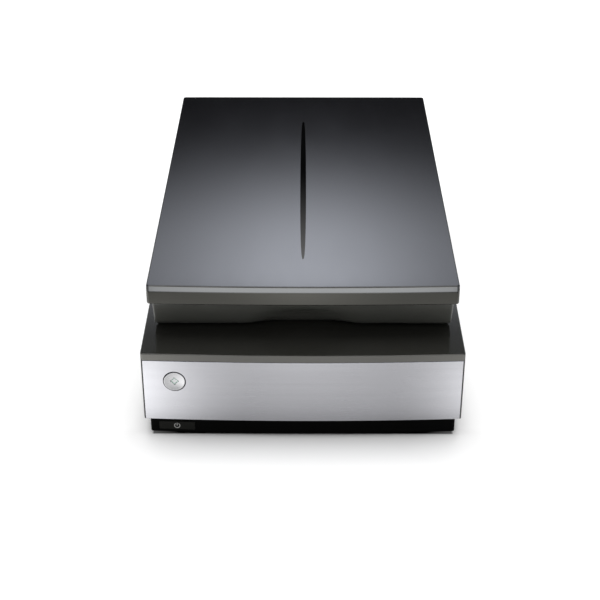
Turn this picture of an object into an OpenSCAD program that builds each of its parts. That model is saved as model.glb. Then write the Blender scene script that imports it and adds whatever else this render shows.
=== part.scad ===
// Flatbed film and photo scanner: a base with a moving optical carriage under glass, and a deep
// lid that holds a second, moving lamp for film. Millimetres, +Z up. The origin lies on the
// ground under the middle of the base; the front faces -Y.

/* [Overall size] */
// Width of the base across its side walls
body_w = 308; // [302:1:320]
// Depth of the base, from the middle of its bowed front to its back
body_d = 503; // [497:1:520]
// How far the middle of the front stands ahead of its corners
front_bow = 4; // [2:0.5:7]
// Radius of the upright corners
corner_r = 3; // [2.8:0.1:5]
// Thickness of the moulded walls
wall = 2.5; // [2:0.1:3]

/* [Base unit] */
// Height of the rubber feet below the plinth
foot_h = 3; // [2:0.5:5]
// Diameter of a rubber foot
foot_d = 22; // [16:1:26]
// Depth of the pocket that seats a rubber foot
foot_seat = 1; // [0.5:0.1:1.4]
// Height of the dark plinth
plinth_h = 16.8; // [16.4:0.2:20]
// Set-back of the plinth from the side walls
plinth_in = 5.5; // [4:0.5:7]
// Set-back of the plinth from the silver front panel
plinth_back = 3; // [2:0.5:4.5]
// Height of the silver front panel
panel_h = 67.4; // [66:0.2:76]
// Thickness of the silver front panel
panel_t = 2.5; // [2:0.1:3]
// Casing edge left showing at each end of the silver panel
cheek = 1.8; // [1.4:0.1:2.6]
// Height of the band that the top frame shows above the panel
band_h = 7.3; // [6.9:0.1:9]
// Thickness of the top frame's flat part
top_t = 2; // [1.6:0.1:2.4]

/* [Platen] */
// Width of the picture area
scan_w = 216; // [210:1:218]
// Length of the picture area
scan_l = 297; // [290:1:300]
// Glass left clear around the picture area
platen_margin = 4; // [3:0.5:5]
// Middle of the glass, measured from the middle of the base
platen_y = -22; // [-24:1:-18]
// Thickness of the glass
glass_t = 3; // [2.5:0.1:3.4]
// Width of the bonded edge of the glass
glass_lap = 6; // [5:0.5:7]
// Thickness of the bonding gasket
seal_t = 0.5; // [0.4:0.1:0.7]

/* [Buttons] */
// Diameter of the round start button
start_d = 20.4; // [18:0.2:24]
// Side of the diamond light in the start button
start_light_w = 4.4; // [3:0.2:5.4]
// Middle of the start button, measured from the left side of the base
start_in = 31.5; // [29:0.1:34]
// Middle of the start button, above the bottom edge of the silver panel
start_up = 44.4; // [38:0.1:46]
// Travel of the start button
start_travel = 1.2; // [0.8:0.1:1.5]
// Width of the power button
power_w = 35; // [28:0.5:36]
// Height of the power button
power_h = 9; // [8:0.2:9.6]
// Outer diameter of the light ring on the power button
power_ring_d = 6; // [5:0.2:7]
// Travel of the power button
power_travel = 1; // [0.7:0.1:1.2]

/* [Scan carriage] */
// Travel of the optical carriage
scan_travel = 318; // [308:1:320]
// Length of the optical carriage along its travel
carriage_l = 76; // [74:1:78]
// Diameter of the steel guide rod
rod_d = 8; // [7:0.5:9]
// Height of the guide rod's centre above the floor of the casing
rod_up = 34.5; // [33:0.5:37]
// Sideways travel of the two-lens slide
lens_shift = 28; // [26:0.5:30]
// Module of the drive gears
gear_m = 1; // [0.9:0.05:1]
// Teeth on the large drive gear
gear_teeth = 40; // [36:2:40]
// Teeth on the motor pinion
pinion_teeth = 12; // [12:1:14]
// Radius of the drive belt's pulleys
pulley_r = 8; // [7:0.5:9]
// Width of the drive belt
belt_w = 6; // [5:0.5:6.5]

/* [Lid] */
// Gap between the base top and the underside of the lid
lid_gap = 1.5; // [1.2:0.1:2.5]
// Height of the lid's lower tray
tray_h = 37; // [36:0.5:42]
// Height of the lid's cover, which is its front brow
cover_h = 19; // [18:0.5:24]
// Set-in of the lid from each side of the base
lid_in = 6; // [5:0.5:9]
// Set-back of the lid's front corners from the base's front corners
lid_front = 27.1; // [24:0.5:29]
// How far the middle of the lid's front stands ahead of its corners
lid_bow = 3; // [2:0.5:5]
// Set-in of the lid from the back of the base
lid_back = 3.4; // [2.6:0.2:4.4]
// Set-in of the tray from the sides of the cover
tray_in = 4.5; // [4:0.1:6]
// Thickness of the cover's top
cover_t = 3; // [2.5:0.1:3.5]
// Height of the bevel along the cover's front edge
bevel_h = 5.4; // [3:0.2:6]
// Set-back of the bevel at its top
bevel_in = 2.4; // [1:0.1:2.5]
// Length of the long groove on the lid
groove_l = 337; // [300:1:345]
// Width of the long groove on the lid
groove_w = 6; // [4:0.5:9]
// Depth of the long groove on the lid
groove_deep = 1.5; // [0.8:0.1:1.7]
// Width of the finger scoop under the brow
scoop_w = 88; // [70:1:110]
// Radius of the finger scoop
scoop_r = 28.5; // [24:0.5:30]

/* [Film lamp] */
// Width of the film window
film_w = 203; // [200:1:204]
// Length of the film window
film_l = 254; // [250:1:258]
// Clearance of the document mat inside the glass opening
mat_in = 5; // [4:0.5:8]
// Travel of the film lamp
lamp_travel = 275; // [265:1:280]
// Diameter of the lamp's guide rod
lamp_rod_d = 6; // [5:0.5:6.5]
// Module of the lamp's gears
lamp_gear_m = 0.8; // [0.7:0.05:0.8]
// Teeth on the lamp's large gear
lamp_gear_teeth = 36; // [32:2:36]
// Radius of the lamp belt's pulleys
lamp_pulley_r = 6; // [5.5:0.5:7]

/* [Hinge] */
// Distance of each lid post from the middle
hinge_x = 95; // [90:1:98]
// Set-in of the hinge line from the back of the base
hinge_in = 15.5; // [15:0.5:17]
// Height of the hinge line above the base top
hinge_up = 11.5; // [11:0.5:13]
// Diameter of the hinge pin
hinge_pin_d = 4; // [3:0.5:4.5]
// Length of the post that slides in the base
post_l = 45; // [40:1:48]
// Width of the lid post
post_w = 20; // [18:0.5:22]
// Thickness of the lid post
post_t = 7; // [6:0.5:8]

/* [Hidden] */

$fn = 48;
arc_fn = 2880;
eps = 0.01;
slide_gap = 0.3;
fit_gap = 0.2;
run_gap = 0.05;
through = 1;

// Heights in the base
floor_z = foot_h + wall;
plinth_z = foot_h + plinth_h;
rim_z = plinth_z + panel_h;
base_z = rim_z + band_h;
plate_z = base_z - top_t;
glass_top = plate_z - seal_t;
glass_bottom = glass_top - glass_t;
// Front and back of the base
front_y = -body_d / 2 + front_bow;
back_y = body_d / 2;
half_w = body_w / 2;
panel_w = body_w - 2 * cheek;
plinth_w = body_w - 2 * plinth_in;
case_front_y = front_y + panel_t + fit_gap;
// Platen opening in the top frame
platen_w = scan_w + 2 * platen_margin;
platen_l = scan_l + 2 * platen_margin;

// A flat outline with a bowed front edge and rounded corners; front is the y of its corners
module bowed_plan(w, front, back, r, bow = front_bow) {
    chord = w / 2 - r;
    bow_r = (chord * chord + bow * bow) / (2 * bow);
    // The bow runs on a little way inside the corner's circle
    reach = chord + r * chord / bow_r;
    translate([-chord, front + r])
        square([2 * chord, back - front - r]);
    translate([-w / 2, front + r])
        square([w, back - front - 2 * r]);
    for (side = [-1, 1], y = [front + r, back - r])
        translate([side * (w / 2 - r), y])
            circle(r = r, $fn = 32);
    intersection() {
        translate([-reach, front - bow])
            square([2 * reach, bow + 2 * r]);
        translate([0, front - bow + bow_r])
            circle(r = bow_r, $fn = arc_fn);
    }
}

// A box by its low corner and its size, or centred in X and Y
module box_at(low, size) {
    translate(low)
        cube(size);
}
module post_box(x, y, z, w, l, h) {
    translate([x - w / 2, y - l / 2, z])
        cube([w, l, h]);
}
module post_round(x, y, z, d, h) {
    translate([x, y, z])
        cylinder(h = h, d = d);
}
// Cylinders along X and along Y, centred on the given point
module rod_x(x, y, z, d, l) {
    translate([x - l / 2, y, z])
        rotate([0, 90, 0])
            cylinder(h = l, d = d);
}
module rod_y(x, y, z, d, l) {
    translate([x, y + l / 2, z])
        rotate([90, 0, 0])
            cylinder(h = l, d = d);
}
// Closed loop with half-round ends around two centres on a line along Y
module loop_plan(x, y0, y1, r) {
    translate([x - r, y0])
        square([2 * r, y1 - y0]);
    for (y = [y0, y1])
        translate([x, y])
            circle(r = r);
}
module belt_loop(x, y0, y1, z, r, thick, w) {
    translate([0, 0, z])
        linear_extrude(w)
            difference() {
                loop_plan(x, y0, y1, r + thick);
                loop_plan(x, y0, y1, r);
            }
}

// Involute gear outline. Tooth flanks are short chords of the involute of the base circle.
pressure = 25;
addendum = 0.8;
dedendum = 1.1;
backlash = 0.16;
flank_steps = 4;
function involute_turn(r, base_r) = let (t = sqrt(max(0, pow(r / base_r, 2) - 1)))
    t * 180 / PI - atan(t);
function flank(r, base_r, half) = half - involute_turn(max(r, base_r), base_r);
function polar(r, a) = [r * cos(a), r * sin(a)];
module gear_plan(teeth, m) {
    pitch_r = teeth * m / 2;
    base_r = pitch_r * cos(pressure);
    root_r = pitch_r - dedendum * m;
    tip_r = pitch_r + addendum * m;
    start_r = max(root_r, base_r);
    half = 90 / teeth - backlash * m / 2 / pitch_r * 180 / PI + involute_turn(pitch_r, base_r);
    radii = [for (k = [0:flank_steps]) start_r + (tip_r - start_r) * k / flank_steps];
    polygon([
        for (i = [0:teeth - 1])
            let (a = i * 360 / teeth)
                each concat(
                    [polar(root_r, a - flank(start_r, base_r, half))],
                    [for (r = radii) polar(r, a - flank(r, base_r, half))],
                    [for (k = [flank_steps:-1:0]) polar(radii[k], a + flank(radii[k], base_r, half))],
                    [polar(root_r, a + flank(start_r, base_r, half))]
                )
    ]);
}

// Places shared by the pieces in the base
plinth_front_y = front_y + plinth_back;
function bow_radius(w, bow = front_bow) = (pow(w / 2 - corner_r, 2) + pow(bow, 2)) / (2 * bow);
function bow_y(w, front, x) = front - front_bow + bow_radius(w) - sqrt(pow(bow_radius(w), 2) - x * x);
start_x = -half_w + start_in;
start_z = plinth_z + start_up;
start_y = bow_y(body_w, front_y, start_x);
start_proud = 0.6;
start_rim = 2;
start_flange = 1;
start_back_y = bow_y(body_w - 2 * wall, case_front_y + wall, start_x - start_d / 2 - start_rim)
    + slide_gap;
switch_w = 6;
board_t = 1.6;
switch_gap = 0.9;
switch_y = start_back_y + start_flange + start_travel + switch_gap;
button_board_y = switch_y + 4;
button_board_w = 36;
power_z = foot_h + plinth_h / 2 - 0.9;
power_deep = 5.6;
power_proud = 0.4;
power_face_y = bow_y(plinth_w, plinth_front_y - power_proud, start_x);
power_back_y = bow_y(plinth_w, plinth_front_y + power_deep, start_x);

home_y = platen_y + scan_l / 2 + 21;
carriage_half = carriage_l / 2;
far_y = home_y - scan_travel;
rod_px = half_w - wall - 20;
rod_z = floor_z + rod_up;
rod_front_y = far_y - carriage_half - 8.5;
rod_back_y = home_y + carriage_half + 17.5;
clip_w = 16;
clip_l = 8;
clip_h = 9;
rail_w = 10;
rail_t = 3;
rail_top = rod_z - 3;
carriage_bottom = floor_z + 22;
light_h = 4;
cover_plate = 1.5;
glass_clear = 1;
carriage_top = glass_bottom - glass_clear - light_h - cover_plate;
carriage_w = 2 * (rod_px - 12);
inside_w = carriage_w - 2 * wall;
bush_d = rod_d + 5;
bush_l = 14;
lens_rod_d = 3;
lens_y = home_y + 12;
lens_z = carriage_bottom + 17.5;
lens_rod_z = carriage_bottom + 8.5;
lens_rest_x = -lens_shift / 2;
photo_lens_d = 14;
film_lens_d = 12;
lens_side = lens_shift / 2;
lens_block_l = 18;
lens_block_w = lens_shift + 28;
lens_post_x = lens_shift + 30;
mirror_t = 2.5;
sensor_z = lens_z;
sensor_board_w = 90;
sensor_board_h = 26;
sensor_w = 60;
sensor_h = 10;
sensor_deep = 4;
sensor_board_y = home_y + carriage_half - wall - 4.1;

belt_x = rod_px - 31.5;
belt_t = 1.2;
drive_y = home_y + carriage_half + 22.5;
idler_y = far_y - carriage_half - 7.5;
gear_z = floor_z + 8.5;
gear_h = 5;
belt_z = gear_z + gear_h + 0.5;
pulley_top = belt_z + belt_w + 0.5;
bracket_z = pulley_top + 1;
bracket_t = 1.5;
axle_d = 4;
pinion_x = belt_x - (gear_teeth + pinion_teeth) * gear_m / 2;
motor_d = 35;
motor_h = 21.5;
motor_shaft_d = 3;
belt_run_x = belt_x - pulley_r - slide_gap - belt_t / 2;
bracket_reach = 24;
bracket_side = 14;
bracket_posts = [
    [pinion_x - bracket_reach, drive_y - bracket_side],
    [pinion_x - bracket_reach, drive_y + bracket_side],
    [belt_x + bracket_reach, drive_y + bracket_side]
];

tower_in = 29;
tower_spots = [
    [-60, front_y + 17.5], [60, front_y + 17.5],
    [-half_w + tower_in, back_y - 13.5], [half_w - tower_in, back_y - 13.5]
];
tower_d = 9;
tower_top = rim_z - 2;
screw_seat = rim_z - 20;
screw_d = 3;
screw_head_d = 5.6;
foot_in = 34;
foot_end = 30;
foot_spots = [for (side = [-1, 1], y = [front_y + foot_end, back_y - foot_end]) [side * (half_w - foot_in), y]];

main_board_z = floor_z + 18.5;
main_board_x = -80;
main_board_w = pinion_x - 34 - main_board_x;
main_board_l = 45;
main_board_y = back_y - wall - 6 - main_board_l;
socket_face_y = back_y - 0.5;
socket_z = main_board_z + board_t;
usb_x = -60;
power_x = -22;
cover_x = 14;
usb_w = 12;
power_socket_w = 9;
cover_w = 24;
socket_h = 11;
socket_l = 15;

hinge_y = back_y - hinge_in;
hinge_z = base_z + hinge_up;
sleeve_gap = slide_gap;
sleeve_wall = 2;
sleeve_deep = post_l + 1;

lock_y = back_y - 46.5;
lock_z = rod_z + 6;
lock_slot_l = 24;
lock_slot_h = 8;
lock_travel = 12;
lock_knob_l = lock_slot_l - lock_travel - 1;

// ---- Base shells ----

module plinth_plan(inset) {
    bowed_plan(plinth_w - 2 * inset, plinth_front_y + inset, back_y - plinth_in + 2.5 - inset,
        corner_r);
}
module case_plan(inset) {
    bowed_plan(body_w - 2 * inset, case_front_y + inset, back_y - inset, corner_r);
}
module panel_cheeks() {
    difference() {
        bowed_plan(body_w, front_y, back_y, corner_r);
        translate([-panel_w / 2 - fit_gap, front_y - front_bow - through])
            square([panel_w + 2 * fit_gap, body_d + 2 * through]);
    }
}
module lower_case_shell() {
    difference() {
        union() {
            translate([0, 0, foot_h])
                linear_extrude(plinth_h + wall)
                    plinth_plan(0);
            translate([0, 0, plinth_z])
                linear_extrude(panel_h) {
                    case_plan(0);
                    panel_cheeks();
                }
        }
        translate([0, 0, floor_z])
            linear_extrude(plinth_h + panel_h)
                plinth_plan(wall);
        translate([0, 0, plinth_z + wall])
            linear_extrude(panel_h)
                case_plan(wall);
    }
}
module lower_case_posts() {
    floor_up = floor_z - eps;
    for (p = tower_spots)
        post_round(p.x, p.y, floor_up, tower_d, tower_top - floor_up);
    for (p = bracket_posts)
        post_round(p.x, p.y, floor_up, 7, bracket_z - floor_up);
    for (y = [rod_front_y, rod_back_y])
        post_box(rod_px, y, floor_up, clip_w, clip_l, rod_z - floor_up);
    box_at([-rod_px - 1.5, rod_front_y, floor_up],
        [3, rod_back_y - rod_front_y, rail_top - rail_t - floor_up]);
    for (x = [main_board_x + 4, main_board_x + main_board_w - 4])
        for (y = [main_board_y + 4, main_board_y + main_board_l - 4])
            post_round(x, y, floor_up, 6, main_board_z - floor_up);
    for (x = [start_x - button_board_w / 2 + 4, start_x + button_board_w / 2 - 4])
        box_at([x - 2, button_board_y + board_t, floor_up], [4, 7, 26]);
    for (x = [belt_x - 10, belt_x + 10])
        post_round(x, idler_y, floor_up, 7, 2.5);
}
module lower_case() {
    color("#1c1c1e")
        difference() {
            union() {
                lower_case_shell();
                lower_case_posts();
            }
            for (p = tower_spots) {
                post_round(p.x, p.y, foot_h - through, screw_head_d + 1, screw_seat - foot_h + through);
                post_round(p.x, p.y, foot_h, screw_d + 0.3, tower_top);
            }
            for (p = foot_spots)
                post_round(p.x, p.y, foot_h - through, foot_d + 0.2, foot_seat + through);
            rod_y(rod_px, (rod_front_y + rod_back_y) / 2, rod_z, rod_d + 2 * run_gap,
                rod_back_y - rod_front_y + 2 * clip_l);
            // Openings for the two buttons
            rod_y(start_x, start_y, start_z, start_d + 2 * slide_gap + 0.2, 4 * wall + 2 * panel_t);
            post_box(start_x, plinth_front_y, power_z - power_h / 2 - slide_gap,
                power_w + 2 * slide_gap, 4 * wall, power_h + 2 * slide_gap);
            // Openings in the back wall for the sockets
            socket_cut(usb_x, usb_w);
            socket_cut(power_x, power_socket_w);
            socket_cut(cover_x, cover_w);
            // Slot of the transport lock
            box_at([-half_w - through, lock_y - lock_slot_l / 2, lock_z - lock_slot_h / 2],
                [wall + 2 * through, lock_slot_l, lock_slot_h]);
        }
}
module socket_cut(x, w) {
    box_at([x - w / 2 - fit_gap, back_y - 2 * wall, socket_z - fit_gap],
        [w + 2 * fit_gap, 4 * wall, socket_h + 2 * fit_gap]);
}

module sleeve_holes() {
    for (side = [-1, 1])
        post_box(side * hinge_x, hinge_y, plate_z - sleeve_deep - through,
            post_w + 2 * sleeve_gap, post_t + 2 * sleeve_gap, sleeve_deep + top_t + 2 * through);
}
module top_frame() {
    color("#2a2a2c")
        difference() {
            union() {
                difference() {
                    translate([0, 0, rim_z])
                        linear_extrude(band_h)
                            bowed_plan(body_w, front_y, back_y, corner_r);
                    translate([0, 0, rim_z - through])
                        linear_extrude(band_h - top_t + through)
                            bowed_plan(body_w - 2 * wall, front_y + wall, back_y - wall, corner_r);
                }
                for (side = [-1, 1])
                    post_box(side * hinge_x, hinge_y, plate_z - sleeve_deep,
                        post_w + 2 * (sleeve_gap + sleeve_wall),
                        post_t + 2 * (sleeve_gap + sleeve_wall), sleeve_deep + eps);
                for (p = tower_spots)
                    post_round(p.x, p.y, tower_top, tower_d, plate_z - tower_top + eps);
            }
            translate([0, platen_y, base_z])
                cube([platen_w, platen_l, 4 * band_h], center = true);
            sleeve_holes();
            for (p = tower_spots)
                post_round(p.x, p.y, tower_top - through, screw_d - 0.4, plate_z - tower_top);
        }
}
module scan_glass() {
    color("#9fb4b8", 0.4)
        translate([-platen_w / 2 - glass_lap, platen_y - platen_l / 2 - glass_lap, glass_bottom])
            cube([platen_w + 2 * glass_lap, platen_l + 2 * glass_lap, glass_t]);
}
module glass_gasket() {
    color("#0e0e0e")
        difference() {
            box_at([-platen_w / 2 - glass_lap, platen_y - platen_l / 2 - glass_lap, glass_top],
                [platen_w + 2 * glass_lap, platen_l + 2 * glass_lap, seal_t]);
            box_at([-platen_w / 2, platen_y - platen_l / 2, glass_top - through],
                [platen_w, platen_l, seal_t + 2 * through]);
        }
}
module white_strip() {
    color("#f2f2ee")
        box_at([-platen_w / 2, platen_y + platen_l / 2 + glass_lap + 1, plate_z - seal_t],
            [platen_w, 12, seal_t]);
}
module front_panel() {
    color("#b9bbc2")
        difference() {
            translate([0, 0, plinth_z])
                linear_extrude(panel_h - slide_gap)
                    difference() {
                        intersection() {
                            bowed_plan(body_w, front_y, back_y, corner_r);
                            translate([-panel_w / 2, front_y - front_bow - through])
                                square([panel_w, front_bow + panel_t + 2 * through + corner_r]);
                        }
                        bowed_plan(body_w + 2 * corner_r, front_y + panel_t, back_y, corner_r);
                    }
            rod_y(start_x, start_y, start_z, start_d + 2 * slide_gap + 0.2, 4 * panel_t);
        }
}
module rubber_feet() {
    color("#151515")
        for (p = foot_spots)
            post_round(p.x, p.y, 0, foot_d, foot_h + foot_seat);
}
module case_screws() {
    color("#c8c8c8") {
        for (p = tower_spots) {
            post_round(p.x, p.y, screw_seat - 2.4, screw_head_d, 2.4);
            post_round(p.x, p.y, screw_seat - eps, screw_d - 0.6, plate_z - screw_seat - 1.2);
        }
        for (p = bracket_posts)
            post_round(p.x, p.y, bracket_z + bracket_t, 6, 2);
    }
}

// ---- Buttons ----

module start_button() {
    face_y = start_y - start_proud;
    dish = 0.5;
    dish_half = start_d / 2 - 0.7;
    dish_r = (dish_half * dish_half + dish * dish) / (2 * dish);
    color("#c9cbd0")
        difference() {
            union() {
                translate([start_x, start_back_y, start_z])
                    rotate([90, 0, 0])
                        cylinder(h = start_back_y - face_y, d = start_d);
                translate([start_x, start_back_y + start_flange, start_z])
                    rotate([90, 0, 0])
                        cylinder(h = start_flange, d = start_d + 2 * start_rim);
            }
            translate([start_x, face_y + dish - dish_r, start_z])
                sphere(r = dish_r, $fn = 200);
            diamond_bar(start_light_w + 2 * run_gap, face_y - through, start_back_y + 4);
        }
}
module diamond_bar(w, y0, y1) {
    translate([start_x, y1, start_z])
        rotate([90, 0, 0])
            rotate([0, 0, 45])
                translate([-w / 2, -w / 2, 0])
                    cube([w, w, y1 - y0]);
}
module start_light() {
    color("#8fd0b0")
        diamond_bar(start_light_w, start_y, start_back_y + start_flange);
}
module power_block(grow) {
    intersection() {
        translate([0, 0, power_z - power_h / 2 - grow])
            linear_extrude(power_h + 2 * grow)
                difference() {
                    bowed_plan(plinth_w, plinth_front_y - power_proud, back_y - plinth_in, corner_r);
                    bowed_plan(plinth_w, plinth_front_y + power_deep, back_y, corner_r);
                }
        post_box(start_x, front_y, foot_h, power_w, 8 * wall, plinth_h);
    }
}
module power_ring_shape(grow) {
    ring_l = 1.5;
    difference() {
        rod_y(start_x, power_face_y + ring_l / 2, power_z, power_ring_d + 2 * grow, ring_l + 2 * grow);
        rod_y(start_x, power_face_y, power_z, power_ring_d - 1.6 - 2 * grow, 3 * ring_l);
    }
}
module power_button() {
    color("#2b2b29")
        difference() {
            power_block(0);
            power_ring_shape(run_gap);
        }
}
module power_ring() {
    color("#8a8a86")
        power_ring_shape(0);
}
module button_board() {
    switch_l = button_board_y - switch_y;
    power_switch_l = button_board_y - power_back_y - power_travel - switch_gap;
    color("#2f6b3a") {
        box_at([start_x - button_board_w / 2, button_board_y, floor_z],
            [button_board_w, board_t, start_z + 10 - floor_z]);
        post_box(start_x, switch_y + switch_l / 2 + eps, start_z - switch_w / 2, switch_w, switch_l,
            switch_w);
        post_box(start_x, button_board_y - power_switch_l / 2 + eps, power_z - switch_w / 2,
            switch_w, power_switch_l, switch_w);
    }
}

// ---- Scan carriage and its optics ----

module guide_rod() {
    color("#c4c6c8")
        rod_y(rod_px, (rod_front_y + rod_back_y) / 2, rod_z, rod_d,
            rod_back_y - rod_front_y + clip_l);
}
module rod_clips() {
    color("#b8bab8")
        difference() {
            for (y = [rod_front_y, rod_back_y])
                post_box(rod_px, y, rod_z, clip_w, clip_l, clip_h);
            rod_y(rod_px, (rod_front_y + rod_back_y) / 2, rod_z, rod_d + 2 * run_gap,
                rod_back_y - rod_front_y + 2 * clip_l);
        }
}
module side_rail() {
    color("#c4c6c8")
        box_at([-rod_px - rail_w / 2, rod_front_y, rail_top - rail_t],
            [rail_w, rod_back_y - rod_front_y, rail_t]);
}
module carriage_frame() {
    clamp_bottom = belt_z - 0.7;
    color("#242426")
        difference() {
            union() {
                difference() {
                    post_box(0, home_y, carriage_bottom, carriage_w, carriage_l,
                        carriage_top - carriage_bottom);
                    post_box(0, home_y, carriage_bottom + wall, inside_w, carriage_l - 2 * wall,
                        carriage_top - carriage_bottom);
                }
                // Bush housing on the rod side and slider foot on the rail side
                box_at([carriage_w / 2 - eps, home_y - carriage_half, rod_z - bush_d / 2 - 2.5],
                    [rod_px - carriage_w / 2 + bush_d / 2 + 2, carriage_l, bush_d + 5]);
                box_at([-rod_px - rail_w / 2, home_y - 20, rail_top + slide_gap],
                    [rod_px + rail_w / 2 - carriage_w / 2 + eps, 40, 8]);
                // Belt clamp under the floor
                post_box(belt_run_x, home_y, clamp_bottom, 8, 16, carriage_bottom - clamp_bottom + eps);
                // Posts of the lens rod and standoffs of the sensor board
                for (side = [-1, 1])
                    post_box(side * lens_post_x, lens_y, carriage_bottom + wall - eps, 4, 8, 11);
                for (side = [-1, 1], z = [sensor_z - 9, sensor_z + 9])
                    rod_y(side * 40, home_y + carriage_half - wall - 1.2, z, 5, 2.6);
            }
            rod_y(rod_px, home_y, rod_z, bush_d + 2 * run_gap, carriage_l + 2 * through);
            rod_x(0, lens_y, lens_rod_z, lens_rod_d + 2 * run_gap, 2 * lens_post_x + 10);
            box_at([belt_run_x - belt_t / 2 - slide_gap, home_y - 10, clamp_bottom - through],
                [belt_t + 2 * slide_gap, 20, belt_z + belt_w + slide_gap - clamp_bottom + through]);
        }
}
module carriage_cover() {
    color("#303032")
        difference() {
            post_box(0, home_y, carriage_top, carriage_w, carriage_l, cover_plate);
            post_box(0, home_y, carriage_top - through, inside_w - 6, 5, cover_plate + 2 * through);
        }
}
module carriage_bushes() {
    color("#b08d57")
        for (y = [home_y - carriage_half + bush_l / 2, home_y + carriage_half - bush_l / 2])
            difference() {
                rod_y(rod_px, y, rod_z, bush_d, bush_l);
                rod_y(rod_px, y, rod_z, rod_d + 2 * run_gap, bush_l + 2 * through);
            }
}
module light_bars() {
    color("#f4f6f2")
        for (side = [-1, 1])
            post_box(0, home_y + side * 7, carriage_top + cover_plate, inside_w - 6, 6, light_h);
}
module mirror_strip(y, z, tilt, w) {
    color("#aeb9bd")
        translate([0, home_y + y, carriage_bottom + z])
            rotate([tilt, 0, 0])
                cube([inside_w - 2 * fit_gap, w, mirror_t], center = true);
}
module first_mirror() {
    mirror_strip(0, 40.5, 45, 16);
}
module second_mirror() {
    mirror_strip(-30.5, 38.5, 80, 20);
}
module third_mirror() {
    mirror_strip(-24, 14.5, 120, 18);
}
module lens_rod() {
    color("#c4c6c8")
        rod_x(0, lens_y, lens_rod_z, lens_rod_d, 2 * lens_post_x + 4);
}
module lens_carrier() {
    color("#18181a")
        difference() {
            post_box(lens_rest_x, lens_y, lens_rod_z - 5.5, lens_block_w, lens_block_l, 26);
            rod_x(lens_rest_x, lens_y, lens_rod_z, lens_rod_d + 2 * run_gap, lens_block_w + 4);
            lens_bore(-lens_side, photo_lens_d + 2 * run_gap);
            lens_bore(lens_side, film_lens_d + 2 * run_gap);
        }
}
module lens_bore(x, d) {
    rod_y(lens_rest_x + x, lens_y, lens_z, d, lens_block_l + 2 * through);
}
module lens_barrel(x, d) {
    recess = 1.5;
    difference() {
        rod_y(lens_rest_x + x, lens_y, lens_z, d, lens_block_l + 4);
        for (side = [-1, 1])
            rod_y(lens_rest_x + x, lens_y + side * (lens_block_l / 2 + 2), lens_z, d - 3, 2 * recess);
    }
}
module photo_lens() {
    color("#101012")
        lens_barrel(-lens_side, photo_lens_d);
}
module film_lens() {
    color("#101012")
        lens_barrel(lens_side, film_lens_d);
}
module sensor_board() {
    color("#2f6b3a")
        box_at([-sensor_board_w / 2, sensor_board_y, sensor_z - sensor_board_h / 2],
            [sensor_board_w, board_t, sensor_board_h]);
}
module image_sensor() {
    color("#4a4038")
        box_at([-sensor_w / 2, sensor_board_y - sensor_deep, sensor_z - sensor_h / 2],
            [sensor_w, sensor_deep, sensor_h]);
}

// ---- Scan drive ----

module drive_belt() {
    color("#111111")
        belt_loop(belt_x, idler_y, drive_y, belt_z, pulley_r + slide_gap, belt_t, belt_w);
}
module pulley_shape(x, y, r) {
    translate([x, y, belt_z - 0.5])
        cylinder(h = pulley_top - belt_z + 0.5, r = r);
}
module drive_pulley() {
    color("#d8d4c4")
        difference() {
            union() {
                pulley_shape(belt_x, drive_y, pulley_r);
                translate([belt_x, drive_y, gear_z])
                    linear_extrude(gear_h)
                        gear_plan(gear_teeth, gear_m);
            }
            post_round(belt_x, drive_y, gear_z - through, axle_d + 2 * run_gap, gear_h + belt_w + 4);
        }
}
module idler_pulley() {
    color("#d8d4c4")
        difference() {
            pulley_shape(belt_x, idler_y, pulley_r);
            post_round(belt_x, idler_y, gear_z, axle_d + 2 * run_gap, gear_h + belt_w + 4);
        }
}
module idler_bracket() {
    plate_low = floor_z + 2.5;
    color("#a9abad") {
        post_box(belt_x, idler_y, plate_low, 30, 18, bracket_t);
        post_round(belt_x, idler_y, plate_low, axle_d + 4, belt_z - 0.5 - slide_gap - plate_low);
        post_round(belt_x, idler_y, plate_low, axle_d, pulley_top + 0.3 - plate_low);
    }
}
module motor_bracket() {
    color("#a9abad")
        difference() {
            union() {
                box_at([pinion_x - bracket_reach - 6, drive_y - bracket_side - 5, bracket_z],
                    [belt_x + 20 - (pinion_x - bracket_reach - 6), 2 * bracket_side + 11, bracket_t]);
                box_at([belt_x + 18, drive_y + 6, bracket_z], [12, bracket_side, bracket_t]);
                post_round(belt_x, drive_y, gear_z - 2, axle_d, bracket_z + bracket_t - gear_z + 2);
            }
            post_round(pinion_x, drive_y, bracket_z - through, 10.4, bracket_t + 2 * through);
        }
}
module scan_motor() {
    motor_z = bracket_z + bracket_t;
    color("#6d6f72")
        difference() {
            union() {
                post_round(pinion_x, drive_y, motor_z, motor_d, motor_h);
                post_round(pinion_x, drive_y, bracket_z, 10, bracket_t + eps);
            }
            post_round(pinion_x, drive_y, bracket_z - through, motor_shaft_d + 2 * run_gap, motor_h);
        }
}
module motor_pinion() {
    color("#c8a860") {
        translate([pinion_x, drive_y, gear_z - 0.5])
            rotate([0, 0, 180 / pinion_teeth])
                linear_extrude(gear_h + 1)
                    gear_plan(pinion_teeth, gear_m);
        post_round(pinion_x, drive_y, gear_z, motor_shaft_d, bracket_z + motor_h - 4 - gear_z);
    }
}

// ---- Boards, sockets and lock ----

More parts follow.
